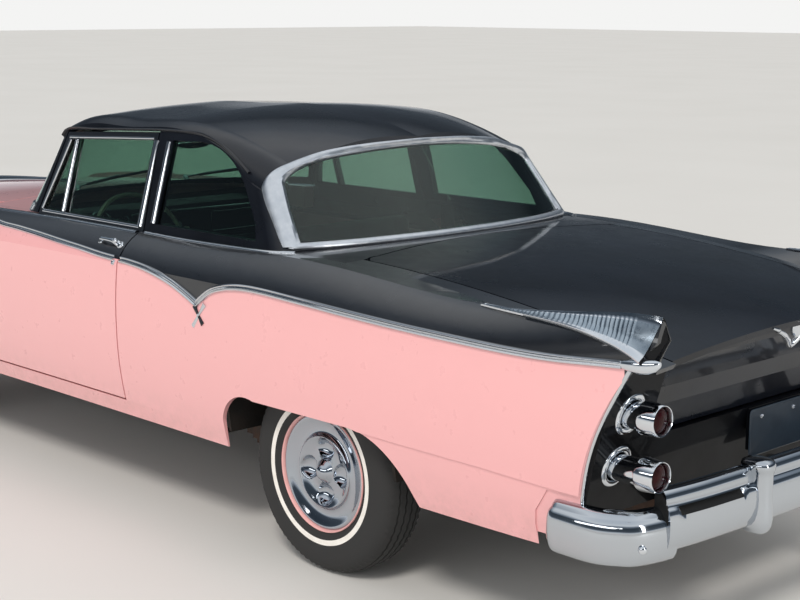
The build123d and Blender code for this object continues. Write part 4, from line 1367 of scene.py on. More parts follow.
    def build(self) -> None:
        """Put the bumper together."""
        word = "front" if self.end > 0 else "rear"
        centre = self.blade(self.bar, 0.03, -0.76, 0.756, self.slot)
        for i, face in enumerate(centre.faces):
            spot = sum((centre.points[j] for j in face), Vector()) / len(face)
            if 0.43 < abs(spot.y) < 0.71 and 0.517 < spot.z < 0.532 and abs(spot.x) > 2.6:
                centre.marks[i] = 1
        # Bar, wings and guards take the darker plating: painted shade in their tint
        centre.thing(f"{word}_bumper_bar", (Paints.plated, Paints.seal), angle=50,
                     replaces=[f"{word}_bumper"], slot="bright_chrome")
        stay = [[(self.end * x, y, z) for y, z in self.stay] for x in (2.42, 2.5, 2.56, 2.62)]
        for part, shape, finish, angle in (
            ("wing", self.blade(self.wing, 0.037, 0.715, 1.285, self.tuck), Paints.plated, 50),
            ("guard", self.guard(), Paints.plated, 50),
            ("gasket", self.blade(self.gasket, 0.034, 0.751, 0.7575), Paints.seal, 38),
            ("bolt", self.bolt(), Paints.chrome, 38),
            ("stay", solid(stay), Paints.steel, 38),
        ):
            shape.both(f"{word}_bumper_{part}", finish, angle=angle)


@dataclass
class TailLamps:
    """Two stacked lamps each side: a tapered chromium barrel round a red lens."""

    face_x: float = -2.612
    radius: float = 0.048
    places: tuple[Pair, ...] = mm((776, 790), (776, 628))
    steps: int = 72
    # The barrel from the panel to the lens. Columns: out from the face, radius beyond that of the face
    barrel: tuple[Pair, ...] = mm(
        (-162, -13), (-162, -8), (-74, -7.5), (-66, -6), (-64, -2), (-61, 2), (-54, 3), (-30, 1.5),
        (-10, -0.5), (-3, -1.5), (0, -3.5), (-1, -5.5), (-8, -7.5), (-16, -8.5), (-20, -8.5),
    )

    def build(self) -> None:
        """Turn the barrels and lenses, and lay their collars."""
        r, back = self.radius, (-1, 0, 0)
        barrel = [(a, r + b) for a, b in self.barrel]
        lens = [barrel[-1]] + [(-0.02 + 0.013 * sin(k * pi / 16), (r - 0.0088) * cos(k * pi / 16))
                               for k in range(9)]
        panel = Skin("tail_panel", "quarter_panel_left")
        for word, (y, z), nodes in zip(("upper", "lower"), self.places, (["tail_lamps"], [])):
            ring = oval(r + 0.005, r + 0.005, 48)
            path, _ = panel.lay([(-3.0, y + a, z + b) for a, b in ring], (1, 0, 0))
            Shape().lathe(barrel, (self.face_x, y, z), back, self.steps).both(
                f"tail_lamp_barrel_{word}", Paints.chrome, replaces=nodes, slot="bright_chrome")
            # The lenses take the darkened red: painted shade
            Shape().lathe(lens, (self.face_x, y, z), back, self.steps, warp=self.flutes).both(
                f"tail_lamp_lens_{word}", Paints.red_lens, slot="lamp_lens")
            swept(path, (-0.97, 0.0, -0.24), crowned(0.021, 0.006, 0.004), closed=True).both(
                f"tail_lamp_collar_{word}", Paints.chrome)

    def flutes(self, a: float, r: float, t: float) -> Pair:
        """Ring flutes moulded into the lens."""
        return a + 0.0009 * sin(r * 2 * pi / 0.006), r


@dataclass
class FinCaps:
    """Bright caps over the rear fenders' peaks: a hollow channel between two beads, ribbed in front."""

    # The peak's line and the cap's lower and inner edges, front to rear. Columns: x, y, z
    peak: tuple[Place, ...] = mm(
        (-1965, 822, 1038), (-2050, 826, 1040), (-2130, 829, 1045), (-2200, 831, 1052),
        (-2290, 834, 1062), (-2370, 838, 1072), (-2440, 840, 1082), (-2510, 840.5, 1090),
        (-2580, 840.5, 1095), (-2652, 840.5, 1096),
    )
    lower: tuple[Place, ...] = mm(
        (-1968, 826, 1036), (-2055, 840, 1035), (-2140, 851, 1034), (-2220, 860, 1033),
        (-2310, 869, 1030), (-2390, 876, 1024), (-2460, 881, 1014), (-2525, 884, 1001),
        (-2580, 886, 984), (-2618, 886, 966),
    )
    inner: tuple[Place, ...] = mm(
        (-1968, 818, 1037), (-2050, 814, 1036), (-2130, 811, 1037), (-2200, 809, 1037),
        (-2290, 808, 1038), (-2370, 808, 1040), (-2440, 808, 1041), (-2510, 808, 1041),
        (-2580, 808, 1041), (-2646, 808, 1040),
    )
    ribs: int = 34
    rib_share: float = 0.88
    rib_high: float = 0.0027
    bead: float = 0.016
    # The small casting where cap, side strip and rear bead meet. Columns: x, y, z, half height, half width
    foot: tuple[tuple[float, ...], ...] = mm(
        (-2530, 889, 958, 4, 3), (-2548, 888.5, 959, 11, 6), (-2570, 887, 960, 16, 10),
        (-2592, 884, 961, 20, 13), (-2612, 880, 962, 22, 15), (-2632, 874, 964, 21, 15),
        (-2650, 868, 968, 17, 12), (-2660, 864, 972, 8, 6),
    )

    def foothold(self, skin: Skin, low: Vector, high: Vector, share: float, out: Vector) -> Vector:
        """Find the point of the skin under the straight line between two edges.

        Args:
            skin: the fender's skin.
            low: the point on the first edge.
            high: the point on the second edge.
            share: the share of the way from the first to the second.
            out: the direction away from the skin.

        Returns:
            The point found, or the one on the line where none is near.
        """
        spot = low.lerp(high, share)
        found = skin.hit(spot + out * 0.08, -out)
        return found[0] if found and (found[0] - spot).length < 0.03 else spot

    def build(self) -> None:
        """Lay the cap on the skin and mirror it."""
        skin = Skin("quarter_panel_left")
        peak, lower, inner = (rounded(line, 16) for line in (self.peak, self.lower, self.inner))
        count = len(peak)
        outer_way, inner_way = Vector((0, 0.8, 0.6)), Vector((0, -0.75, 0.66))
        rows = []
        for i in range(count):
            share = i / (count - 1)
            grow = 0.35 + 0.65 * min(1.0, share / 0.5)
            wave = sin(2 * pi * share / self.rib_share * self.ribs)
            rib = self.rib_high * max(0.0, wave) if share < self.rib_share else 0.0
            top = peak[i] + outer_way * 0.003
            foot = lower[i] + outer_way * (0.002 + self.bead * grow)
            ring = []
            for k in range(17):
                s = k / 16
                under = self.foothold(skin, peak[i], lower[i], s, outer_way)
                spot = top.lerp(foot, s) - outer_way * (0.004 * grow * sin(pi * s))
                spot += outer_way * max(0.0, 0.0015 - (spot - under).dot(outer_way))
                edge = sum(max(0.0, cos(min(1.0, d / 0.13) * pi / 2)) for d in (s, 1 - s))
                ring.append(spot + outer_way * (0.0035 * grow * edge + (rib if 0.14 < s < 0.86 else 0.0)))
            ring += [foot + Vector((0, 0.001, -0.004)), lower[i] + Vector((0, -0.004, -0.007)),
                     inner[i].lerp(lower[i], 0.5) + Vector((0, 0, -0.02)),
                     inner[i] + Vector((0, 0.004, -0.006))]
            for s, high in ((0.0, 0.0055), (0.2, 0.0025), (0.5, 0.0025), (0.8, 0.0025)):
                ring.append(self.foothold(skin, inner[i], peak[i], s, inner_way) + inner_way * high)
            rows.append(ring)
        shape = solid(rows)
        # The channel's faces take the blue-grey tint, a painted reflection
        for i in range(count - 1):
            for k in range(3, 13):
                shape.marks[i * len(rows[0]) + k] = 1
        # The cap's rear end face takes the darker tail black: painted shade for the dark gap behind the fin
        shape.marks[-1] = 2
        shape.both("fin_cap", (Paints.fin_chrome, Paints.channel, Paints.tail_black), replaces=["fin_trim"],
                   angle=45, slot="bright_chrome")
        rows = [[(x, y + a, z + b) for a, b in oval(wide, high, 20)] for x, y, z, high, wide in self.foot]
        solid(rows).both("fin_foot", Paints.fin_chrome, angle=50)


@dataclass
class Bench:
    """One upholstered form of a bench seat, with pleats between smooth rolls."""

    name: str
    node: str
    profile: tuple[Pair, ...]
    low_y: float
    high_y: float
    pleated: tuple[int, int]
    pleat_pitch: float = 0.052
    pleat_deep: float = 0.006
    edge: float = 0.035
    roll: float = 0.1

    def build(self) -> None:
        """Loft the form across the car."""
        line = rounded([(x, 0, z) for x, z in self.profile], 7, closed=True)
        count, middle = len(line), sum(line, Vector()) / len(line)
        turn = 1 if sum(a.x * b.z - b.x * a.z for a, b in zip(line, line[1:] + line[:1])) > 0 else -1
        outs = []
        for i in range(count):
            ahead = (line[(i + 1) % count] - line[i - 1]).normalized()
            outs.append(Vector((ahead.z, 0, -ahead.x)) * turn)
        width, (first, last) = self.high_y - self.low_y, self.pleated
        stations = int(width / 0.0065)
        rows = []
        for k in range(stations + 1):
            y = self.low_y + width * k / stations
            near = min(y - self.low_y, self.high_y - y)
            shrink = self.edge * (1 - (1 - (1 - min(1.0, near / self.edge)) ** 2) ** 0.5)
            row = []
            for i, p in enumerate(line):
                share, fill = i / 7, -shrink
                inside = first <= share <= last
                if inside and near > self.roll:
                    pleat = abs(sin(pi * (y - self.low_y - self.roll) / self.pleat_pitch)) ** 0.45
                    fade = min(1.0, (share - first) / 0.35, (last - share) / 0.35)
                    fill -= self.pleat_deep * (1 - pleat) * fade
                elif near > self.edge:
                    seam = min(abs(near - self.roll), 0.012) / 0.012
                    fill -= 0.004 * (1 - seam) if inside or near > self.roll else 0.0
                pull = p + outs[i] * max(fill, -0.9 * (p - middle).length)
                row.append((pull.x, y, pull.z))
            rows.append(row[::-turn])
        shape = solid(rows)
        for k in range(stations):
            y = self.low_y + width * (k + 0.5) / stations
            if min(y - self.low_y, self.high_y - y) > self.roll:
                for j in range(count):
                    i = j if turn < 0 else count - 1 - (j + 1) % count
                    shape.marks[k * count + j] = int(first <= i / 7 < last)
        thing = shape.thing(self.name, (Paints.dark_vinyl, Paints.cloth), angle=60,
                            replaces=[self.node] if self.node else (), slot="seat_cloth")


# Side views of the seats' forms. Columns: x, z
FRONT_CUSHION = mm(
    (-30, 500), (200, 488), (440, 488), (466, 520), (468, 590), (445, 640), (390, 650), (200, 640),
    (10, 618), (-30, 590),
)
FRONT_BACK = mm(
    (-150, 500), (-60, 505), (-22, 600), (-45, 780), (-80, 940), (-105, 995), (-140, 1005), (-170, 980),
    (-172, 880), (-160, 700),
)
REAR_CUSHION = mm(
    (-820, 590), (-650, 584), (-505, 584), (-484, 610), (-482, 665), (-505, 708), (-545, 719),
    (-700, 705), (-800, 690), (-825, 655),
)
REAR_BACK = mm(
    (-945, 610), (-860, 600), (-815, 680), (-838, 820), (-865, 930), (-885, 982), (-912, 996),
    (-942, 980), (-955, 900), (-950, 750),
)


@dataclass
class Seats:
    """The front bench with its split back, and the rear bench."""

    front_half: float = 0.636
    rear_half: float = 0.586
    split: float = 0.006

    def build(self) -> None:
        """Upholster each form."""
        front, rear = self.front_half, self.rear_half
        for form in (
            ("front_cushion", "front_seat", FRONT_CUSHION, -front, front, (5, 9)),
            ("front_back_left", "", FRONT_BACK, self.split, front, (2, 5)),
            ("front_back_right", "", FRONT_BACK, -front, -self.split, (2, 5)),
            ("rear_cushion", "rear_seat", REAR_CUSHION, -rear, rear, (5, 9)),
            ("rear_back", "", REAR_BACK, -rear, rear, (2, 5)),
        ):
            Bench(*form).build()


@dataclass
class DoorFittings:
    """Pull handles, lock barrels and the small plain plaques on the quarter panels."""

    handle_x: Pair = (-0.134, -0.003)
    handle_z: float = 1.022
    steps: int = 28
    lock: Pair = (-0.146, 0.962)
    plaque: Pair = (-0.695, 0.838)

    def handle(self, skin: Skin) -> Shape:
        """A grip bowed out from the door on two feet.

        Args:
            skin: the door's skin.

        Returns:
            The handle.
        """
        (low, high), ways = skin.lay([(x, 2.0, self.handle_z) for x in self.handle_x], (0, -1, 0))
        out = (ways[0] + ways[1]).normalized()
        across = (Vector((0, 0, 1)) - out * out.z).normalized()
        rows = []
        for k in range(self.steps + 1):
            s = k / self.steps
            middle = low.lerp(high, s) + out * (0.026 * min(1.0, sin(pi * s) * 2.2) - 0.004)
            wide, thick = 0.0085 + 0.0045 * (1 - s) - 0.003 * sin(pi * s), 0.0055 + 0.002 * (1 - s)
            rows.append([middle + across * a + out * b for a, b in oval(wide, thick, 16)])
        shape = solid(rows)
        shape.lathe(mm((-4, 16.5), (3, 16), (6, 13), (7, 10)), low, out, 28)
        shape.lathe(mm((18, 9.5), (28.5, 9.2), (31, 7), (31.5, 0)),
                    low + Vector((0.012, 0, 0)), out, 24)
        return shape.lathe(mm((-4, 12.5), (3, 12), (5.5, 9)), high, out, 28)

    def build(self) -> None:
        """Fit both doors and both quarter panels."""
        door = Skin("door_left")
        self.handle(door).both("door_handle", Paints.chrome, "door", angle=45)
        spot, out = door.hit((self.lock[0], 2.0, self.lock[1]), (0, -1, 0))
        lock = mm((-3, 11.5), (2, 11), (3.5, 9), (2.8, 6), (4.5, 4), (4.5, 0))
        Shape().lathe(lock, spot, out, 28).both("door_lock", Paints.chrome, "door", angle=40)
        spot, out = Skin("quarter_panel_left").hit((self.plaque[0], 2.0, self.plaque[1]), (0, -1, 0))
        self.plaque_shape(spot, out).both("quarter_plaque", (Paints.chrome, Paints.black), angle=40)

    def plaque_shape(self, middle: Vector, out: Vector) -> Shape:
        """Two crossed plain bars, one bright and one dark, on a bright button.

        Args:
            middle: the point of the panel under its middle.
            out: the normal there.

        Returns:
            The plaque.
        """
        shape = Shape()
        for lean, mark, lift, long in ((radians(52), 0, 0.0, 0.112), (radians(128), 1, 0.0024, 0.078)):
            way = Vector((-cos(lean), 0, sin(lean)))
            line = [middle + way * (long * (k / 8 - 0.5)) + out * lift for k in range(9)]
            shape.join(swept(line, [out] * 9, crowned(0.014, 0.0042, 0.002), scale=self.flare), mark)
        return shape.lathe(mm((-2, 6.5), (5, 6), (7.5, 4), (8, 0)), middle, out, 20)

    def flare(self, share: float) -> Pair:
        """The bars widen towards their ends."""
        return 0.6 + 0.8 * abs(share - 0.5) * 2, 1.0


@dataclass
class Headlamps:
    """Round headlamps: bright bezel, fluted glass, reflector and bulb cap."""

    y: float = 0.77
    z: float = 0.8
    face_x: float = 2.5
    radius: float = 0.102
    # Columns: out from the face, radius less than the lamp's
    bezel: tuple[Pair, ...] = mm((0, 0), (55, 0), (70, 2), (79, 7), (82, 13), (78, 18), (70, 20))

    def flutes(self, a: float, r: float, t: float) -> Pair:
        """Upright flutes moulded in the glass."""
        return a + 0.0007 * sin(r * cos(t) * 2 * pi / 0.012), r

    def build(self) -> None:
        """Turn both lamps."""
        inner = self.radius - 0.02
        bezel = [(a, self.radius - b) for a, b in self.bezel]
        glass = [(0.07 + 0.026 * cos(k * pi / 24), inner * sin(k * pi / 24)) for k in range(12, -1, -1)]
        bowl = [(0.008 + 0.062 * (k / 12) ** 2, inner * k / 12) for k in range(12, -1, -1)]
        cap = ((0.01, 0.014), (0.04, 0.014), (0.046, 0.01), (0.048, 0.0))
        for part, profile, finish, turns, more in (
            ("bezel", bezel, Paints.chrome, 72, {"replaces": ["headlamps"], "slot": "bright_chrome"}),
            ("glass", glass, Paints.clear_lens, 72, {"slot": "window_glass"}),
            ("reflector", bowl, Paints.chrome, 72, {}),
            ("bulb_cap", cap, Paints.pitted, 32, {}),
        ):
            Shape().lathe(profile, (self.face_x, self.y, self.z), (1, 0, 0), turns,
                          warp=self.flutes if part == "glass" else None).both(
                f"headlamp_{part}", finish, **more)


@dataclass
class Grille:
    """A split grille: rounded surround and crossbars each side of a divider, with round parking lamps."""

    x: float = 2.486
    ends: Pair = (0.036, 0.586)
    heights: Pair = (0.553, 0.787)
    corner: float = 0.04
    bars: Place = (0.62, 0.67, 0.72)
    # Columns: y, z, radius
    lamp: Place = (0.52, 0.67, 0.049)

    def build(self) -> None:
        """Build the left half and its mirror, and the divider."""
        ahead, (inner, outer), (ly, lz, r) = (1, 0, 0), self.ends, self.lamp
        core = [[(2.425 + 0.003 * (k % 2), -0.62 + 1.24 * k / 240, z) for z in (0.5, 0.6, 0.7, 0.83)]
                for k in range(241)]
        Shape().skin(core).thing("radiator_core", Paints.seal, angle=20)
        loop = [(self.x, y, z) for y, z in oblong(self.ends, self.heights, self.corner, 8)]
        swept(loop, ahead, oval(0.013, 0.016, 16), closed=True).both(
            "grille_rim", Paints.chrome, replaces=["grille"], angle=60, slot="bright_chrome")
        for n, z in enumerate(self.bars):
            line = [(self.x + 0.004 * sin(pi * k / 24), inner + (outer - inner) * k / 24, z)
                    for k in range(25)]
            swept(line, ahead, oval(0.007, 0.013)).both(f"grille_bar_{n}", Paints.chrome, angle=60)
        lens = [(0.016 + 0.009 * cos(k * pi / 16), (r - 0.01) * sin(k * pi / 16)) for k in range(8, -1, -1)]
        ring = ((-0.018, r), (0.016, r), (0.021, r - 0.003), (0.022, r - 0.008), (0.018, r - 0.01))
        dish = ((-0.014, r - 0.004), (-0.012, r * 0.5), (-0.013, 0.0))
        for part, profile, finish, turns, slot in (("ring", ring, Paints.chrome, 56, ""),
                                                   ("lens", lens, Paints.clear_lens, 56, "window_glass"),
                                                   ("dish", dish, Paints.stainless, 40, "")):
            Shape().lathe(profile, (self.x, ly, lz), ahead, turns).both(
                f"parking_lamp_{part}", finish, slot=slot)
        post = rounded([(self.x + 0.006, 0, z) for z in (0.545, 0.6, 0.67, 0.74, 0.795)])
        swept(post, ahead, oval(0.028, 0.02, 20)).thing("grille_divider", Paints.chrome, angle=60)


@dataclass
class Cabin:
    """What shows inside: headlining, carpet, wheel, dashboard, mirror, door cards and shelf."""

    wheel_middle: Place = (0.43, 0.38, 0.925)
    wheel_tilt: float = 28.0
    wheel_radius: float = 0.215
    dash_x: float = 0.77
    pad_half: float = 0.735
    pad_z: Pair = (0.386, 0.775)
    pad_corner: float = 0.03
    # Dials. Columns: y, radius, name
    dials: tuple[tuple[float, float, str], ...] = (
        (0.38, 0.062, "speed"), (0.262, 0.034, "fuel"), (0.498, 0.034, "heat"),
    )

    def sheet(self, name: str, node: str, up: int, xs: list[float], ys: list[float], start: float,
              finish: Finish, ripple: float = 0.0) -> None:
        """Lay a sheet of lining or carpet on what carries it.

        Args:
            name: the piece's name.
            node: the CAD node that carries it.
            up: 1 where it hangs under that, -1 where it lies on it.
            xs: stations along the car.
            ys: stations across the car.
            start: the height where the casts start.
            finish: the finish.
            ripple: the sag between the roof bows.
        """
        skin, way = Skin(node), Vector((0, 0, up))
        rows = []
        for x in xs:
            row = []
            for y in ys:
                found = skin.hit((x, y, start), way)
                depth = 0.006 + ripple * abs(sin(pi * (x - xs[0]) / 0.29))
                row.append((found[0] if found else Vector((x, y, start)) + way * 0.2) - way * depth)
            rows.append(row)
        Shape().skin(rows[::-up]).thing(name, finish, angle=80)

    def firewall_pad(self) -> None:
        """A thick felt board in black over the firewall's inner face."""
        face = Skin("cowl").hit((0.4, 0.6, 0.7), (1, 0, 0))[0].x
        middle = (self.pad_z[0] + self.pad_z[1]) / 2
        ring = oblong((-self.pad_half, self.pad_half), self.pad_z, self.pad_corner, 6)
        rows = [[(face - d, y * s, middle + (z - middle) * s) for y, z in ring]
                for d, s in ((0.0, 1.0), (0.01, 1.0), (0.014, 0.985))]
        solid(rows).thing("firewall_pad", Paints.carpet, angle=40)

    def wheel_axes(self) -> tuple[Vector, Vector, Vector]:
        """The steering wheel's own directions.

        Returns:
            Its axis, its left and its upward direction.
        """
        tilt = radians(self.wheel_tilt)
        axis = Vector((-cos(tilt), 0, sin(tilt)))
        return axis, Vector((0, 1, 0)), Vector((0, 1, 0)).cross(axis)

    def hoop(self, radius: float, thick: float, angles: Pair, lift: float = 0.0, grips: int = 0) -> Shape:
        """A ring round the steering wheel's axis, or part of one.

        Args:
            radius: the radius of its middle line.
            thick: half its thickness.
            angles: where it starts and ends, in degrees.
            lift: its distance along the axis.
            grips: the number of finger grips around.

        Returns:
            The ring.
        """
        axis, side, up = self.wheel_axes()
        middle = Vector(self.wheel_middle) + axis * lift
        rows, (first, last) = [], angles
        for k in range(145):
            t = radians(first) + radians(last - first) * k / 144
            fat = thick * (1 - (0.07 * max(0.0, cos(t * grips)) if grips else 0.0))
            out = side * cos(t) + up * sin(t)
            rows.append([middle + out * (radius + a) + axis * b for a, b in oval(fat, fat)])
        return Shape().skin(rows, around=True, caps=last - first < 359)

    def steering(self) -> None:
        """An ivory ring with finger grips, two spokes, a bright horn ring and a hub button."""
        axis, side, _ = self.wheel_axes()
        middle, body = Vector(self.wheel_middle), "steering_wheel"
        self.hoop(self.wheel_radius, 0.0105, (0, 360), grips=40).thing(
            "steering_ring", Paints.ivory, body, angle=60, replaces=[body], slot="black_paint")
        self.hoop(0.125, 0.004, (200, 340), 0.016).thing("horn_ring", Paints.chrome, body, angle=60)
        for sign, word in ((1, "left"), (-1, "right")):
            path = rounded([middle + side * (sign * d) + axis * lift for d, lift in
                            ((0.022, 0.008), (0.06, 0.01), (0.11, 0.007), (0.16, 0.003), (0.207, 0.0))])
            swept(path, [axis] * len(path), oval(0.013, 0.0065)).thing(
                f"steering_spoke_{word}", Paints.ivory, body, angle=60)
        hub = mm((-60, 33), (-10, 34), (8, 32), (14, 28), (16, 24), (20, 20), (22, 10), (22.5, 0))
        Shape().lathe(hub, middle, axis, 48, (0, 0, 0, 1, 1, 1, 1)).thing(
            "steering_hub", (Paints.ivory, Paints.chrome), body, angle=50)

    def dial(self, y: float, r: float, word: str) -> None:
        """One dial in its bezel, with eleven marks and a pointer.

        Args:
            y: its distance from the middle of the car.
            r: its radius.
            word: its name.
        """
        back, spot = (-1, 0, 0), Vector((0.7505, y, 0.955))
        Shape().lathe(((0.0, r + 0.007), (0.01, r + 0.006), (0.013, r + 0.002), (0.009, r - 0.002),
                       (0.002, r - 0.003)), spot, back, 48).thing(f"dial_bezel_{word}", Paints.chrome)
        Shape().lathe(((0.002, r - 0.002), (0.0025, r * 0.5), (0.003, 0.0)), spot, back, 40).thing(
            f"dial_face_{word}", Paints.dial)
        marks = Shape()
        # Columns: angle, start and end as shares of the radius, half width there, height over the face
        strokes = [(210 - 24 * k, 0.7, 0.88, 0.001, 0.0014, 0.004) for k in range(11)]
        for angle, low, high, thin, thick, lift in strokes + [(150, 0.0, 0.78, 0.003, 0.0008, 0.005)]:
            t = radians(angle)
            out, across = Vector((0, -cos(t), sin(t))), Vector((0, sin(t), cos(t)))
            marks.skin([[spot + out * (r * share) - Vector((lift, 0, 0)) + across * w for w in (-half, half)]
                        for share, half in ((low, thin), (high, thick))])
        marks.thing(f"dial_marks_{word}", Paints.ivory)

    def dashboard(self) -> None:
        """Dials in bright bezels, a bright strip, a radio face with knobs and a glove box seam."""
        back, x = (-1, 0, 0), self.dash_x
        for dial in self.dials:
            self.dial(*dial)
        knobs = Shape()
        for y in (0.1, -0.1, 0.155, 0.6):
            knobs.lathe(mm((0, 12), (16, 12.5), (20, 10), (21, 0)), (x, y, 0.9), back, 24)
        knobs.thing("dash_knobs", Paints.ivory, angle=45)
        radio = Shape()
        for k in range(9):
            line = [(x - 0.0005, -0.075 + 0.15 * j / 10, 0.872 + 0.0075 * k) for j in range(11)]
            radio.join(swept(line, back, crowned(0.0045, 0.005, 0.001, 4)))
        radio.thing("radio_grille", Paints.chrome, angle=50)
        line = [(x, -0.66 + 1.32 * k / 60, 0.985 + 0.002 * cos(pi * (k / 30 - 1))) for k in range(61)]
        for word, part in (("left", [p for p in line if p[1] >= 0.56]),
                           ("right", [p for p in line if p[1] <= 0.2])):
            swept(part, back, crowned(0.012, 0.005, 0.001)).thing(
                f"dash_strip_{word}", Paints.chrome, angle=50)
        loop = [(x + 0.0005, y, z) for y, z in oblong((-0.58, -0.25), (0.875, 0.965), 0.012, 5)]
        swept(loop, back, crowned(0.004, 0.0022, 0.001, 4), closed=True).thing(
            "glove_box_bead", Paints.chrome, angle=50)

    def mirror(self) -> None:
        """The inside mirror on its stem, hung from the windshield's header."""
        rows = []
        for out, high, wide in ((0.0, 0.022, 0.09), (0.004, 0.026, 0.095), (0.012, 0.025, 0.094),
                                (0.018, 0.016, 0.07)):
            rows.append([(0.555 + out, a * (1 + 0.12 * abs(sin(4 * pi * k / 40))), 1.315 + b)
                         for k, (a, b) in enumerate(oval(wide, high, 40))])
        solid(rows).thing("inside_mirror", Paints.chrome, angle=50)
        line = rounded([(0.572, 0, 1.32), (0.592, 0, 1.345), (0.6, 0, 1.385), (0.6, 0, 1.425)])
        swept(line, (0, 1, 0), oval(0.005, 0.005, 12)).thing("mirror_stem", Paints.chrome, angle=60)

    def door_card(self) -> None:
        """Door trims: hide with upright pleats, a bright strip, an armrest and a winder."""
        skin, inward = Skin("door_left"), (0, -1, 0)
        xs = [-0.15 + 1.085 * k / 150 for k in range(151)]
        zs = [0.455 + 0.455 * k / 26 for k in range(27)]
        rows = []
        for x in xs:
            row = []
            for z in zs:
                found = skin.hit((x, 0.5, z), (0, 1, 0))
                y = min(found[0].y, 0.8255) if found else 0.8255
                pleat = 0.004 * abs(sin(pi * x / 0.045)) ** 0.5 if 0.5 < z < 0.8 else 0.0022
                edge = min(1.0, min(x - xs[0], xs[-1] - x, z - zs[0], zs[-1] - z) / 0.012)
                row.append((x, y - 0.001 - (0.004 + pleat) * edge, z))
            rows.append(row)
        card = Shape().skin(rows)
        card.marks = [int(0.5 < sum(card.points[j].z for j in face) / 4 < 0.8) for face in card.faces]
        arm = []
        for k in range(25):
            s = k / 24
            fat = min(1.0, 3.5 * sin(pi * s) ** 0.6) if 0 < s < 1 else 0.15
            arm.append([(0.06 + 0.3 * s, 0.8 + a, 0.735 + b) for a, b in oval(0.022 * fat, 0.024 * fat, 16)])
        winder = Shape().lathe(mm((0, 24), (8, 22), (12, 14), (13, 0)), (0.62, 0.8165, 0.7),
                               inward, 28)
        line = [(x, 0.8165, 0.805) for x in xs[2:-2:4]]
        crank = [(0.62 + 0.085 * k / 8, 0.803, 0.7 - 0.02 * k / 8) for k in range(9)]
        card.both("door_card", (Paints.vinyl, Paints.dark_vinyl), "door", angle=70)
        swept(line, inward, crowned(0.012, 0.004, 0.002)).both(
            "door_card_strip", Paints.chrome, "door", angle=50)
        for thing in solid(arm).both("armrest", Paints.dark_vinyl, "door", angle=60):
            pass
        winder.both("window_winder", Paints.chrome, "door", angle=45)
        swept(crank, inward, oval(0.007, 0.005, 12)).both(
            "window_winder_arm", Paints.chrome, "door", angle=50)

    def shelf(self) -> None:
        """The parcel shelf behind the rear seat, in ribbed board."""
        rows = []
        for k in range(61):
            y = -0.66 + 1.32 * k / 60
            back = -1.075 - 0.03 * (1 - (y / 0.66) ** 2) + 0.1 * max(0.0, (abs(y) - 0.45) / 0.21)
            z = 0.998 + 0.0015 * abs(sin(pi * k / 2))
            rows.append([(-0.935 + (back + 0.935) * j / 5, y, z + (0.006 if j in (0, 5) else 0.01))
                         for j in range(6)])
        Shape().skin(rows).thing("parcel_shelf", Paints.dark_vinyl, angle=60)

    def build(self) -> None:
        """Fit the inside."""
        self.sheet("headlining", "roof", 1, [-0.8 + 0.0275 * k for k in range(50)],
                   [-0.62 + 0.031 * k for k in range(41)], 1.2, Paints.lining, 0.008)
        self.sheet("carpet", "floor_pan", -1, [-0.78 + 0.035 * k for k in range(50)],
                   [-0.78 + 0.0325 * k for k in range(49)], 0.75, Paints.carpet)
        self.firewall_pad()
        self.steering()
        self.dashboard()
        self.mirror()
        self.door_card()
        self.shelf()


@dataclass
class EngineBay:
    """What sits on and before the engine: valve covers, carburettor, air cleaner and fan."""

    set_back: float = 0.33
    bank_y: float = 0.172
    cover: Place = (0.255, 0.058, 0.072)
    carburettor: Place = (0.062, 0.045, 0.082)
    # The air cleaner. Columns: height, radius
    can: tuple[Pair, ...] = mm(
        (0, 50), (10, 55), (14, 112), (20, 120), (44, 120), (49, 116), (52, 106), (50, 80), (55, 30),
        (56, 0),
    )
    fan_drop: float = 0.2
    fan_radii: tuple[float, ...] = (0.028, 0.07, 0.12, 0.165)
    fan_half: float = 0.036

    def pressed(self, middle: Spot, half: Place) -> Shape:
        """A pressed box with rounded shoulders.

        Args:
            middle: the middle of its foot.
            half: half its length and width, and its height.

        Returns:
            The box.
        """
        rows = []
        for lift, inset in ((0.0, 0.0), (0.55, 0.0), (0.8, 0.05), (0.94, 0.16), (1.0, 0.34)):
            ring = []
            for c, s in oval(1.0, 1.0, 40):
                x = (half[0] - half[1] * inset) * abs(c) ** 0.25 * (1 if c > 0 else -1)
                y = half[1] * (1 - inset) * abs(s) ** 0.4 * (1 if s > 0 else -1)
                ring.append((middle[0] + x, middle[1] + y, middle[2] + half[2] * lift))
            rows.append(ring)
        return solid(rows)

    def build(self) -> None:
        """Place the pieces on the engine's own box."""
        front, _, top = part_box("engine_block")[1]
        x, (long, wide, high), up = front - self.set_back, self.carburettor, (0, 0, 1)
        self.pressed((x, self.bank_y, top - 0.002), self.cover).both(
            "valve_cover", Paints.engine_enamel, angle=45)
        self.pressed((x, 0.0, top - 0.002), (long, wide, high + 0.006)).thing(
            "carburettor", Paints.pitted, angle=45)
        Shape().lathe(self.can, (x, 0.0, top + high), up, 64).thing(
            "air_cleaner", Paints.dark_vinyl, angle=35)
        Shape().lathe(mm((0, 10), (6, 10), (10, 6), (11, 0)), (x, 0.0, top + high + 0.054),
                      up, 24).thing("air_cleaner_nut", Paints.pitted)
        hub, half = Vector((front, 0.0, top - self.fan_drop)), self.fan_half
        fan = Shape().lathe(mm((0, 34), (30, 34), (36, 26), (37, 0)), hub, (1, 0, 0), 40)
        for k in range(4):
            t = pi / 4 + pi / 2 * k
            out, across = Vector((0, cos(t), sin(t))), Vector((0.35, -sin(t), cos(t))).normalized()
            fan.skin([[hub + Vector((0.03, 0, 0)) + out * d + across * w
                       for w in (-half, -half / 3, half / 3, half)] for d in self.fan_radii])
        fan.thing("fan", Paints.iron, angle=35)


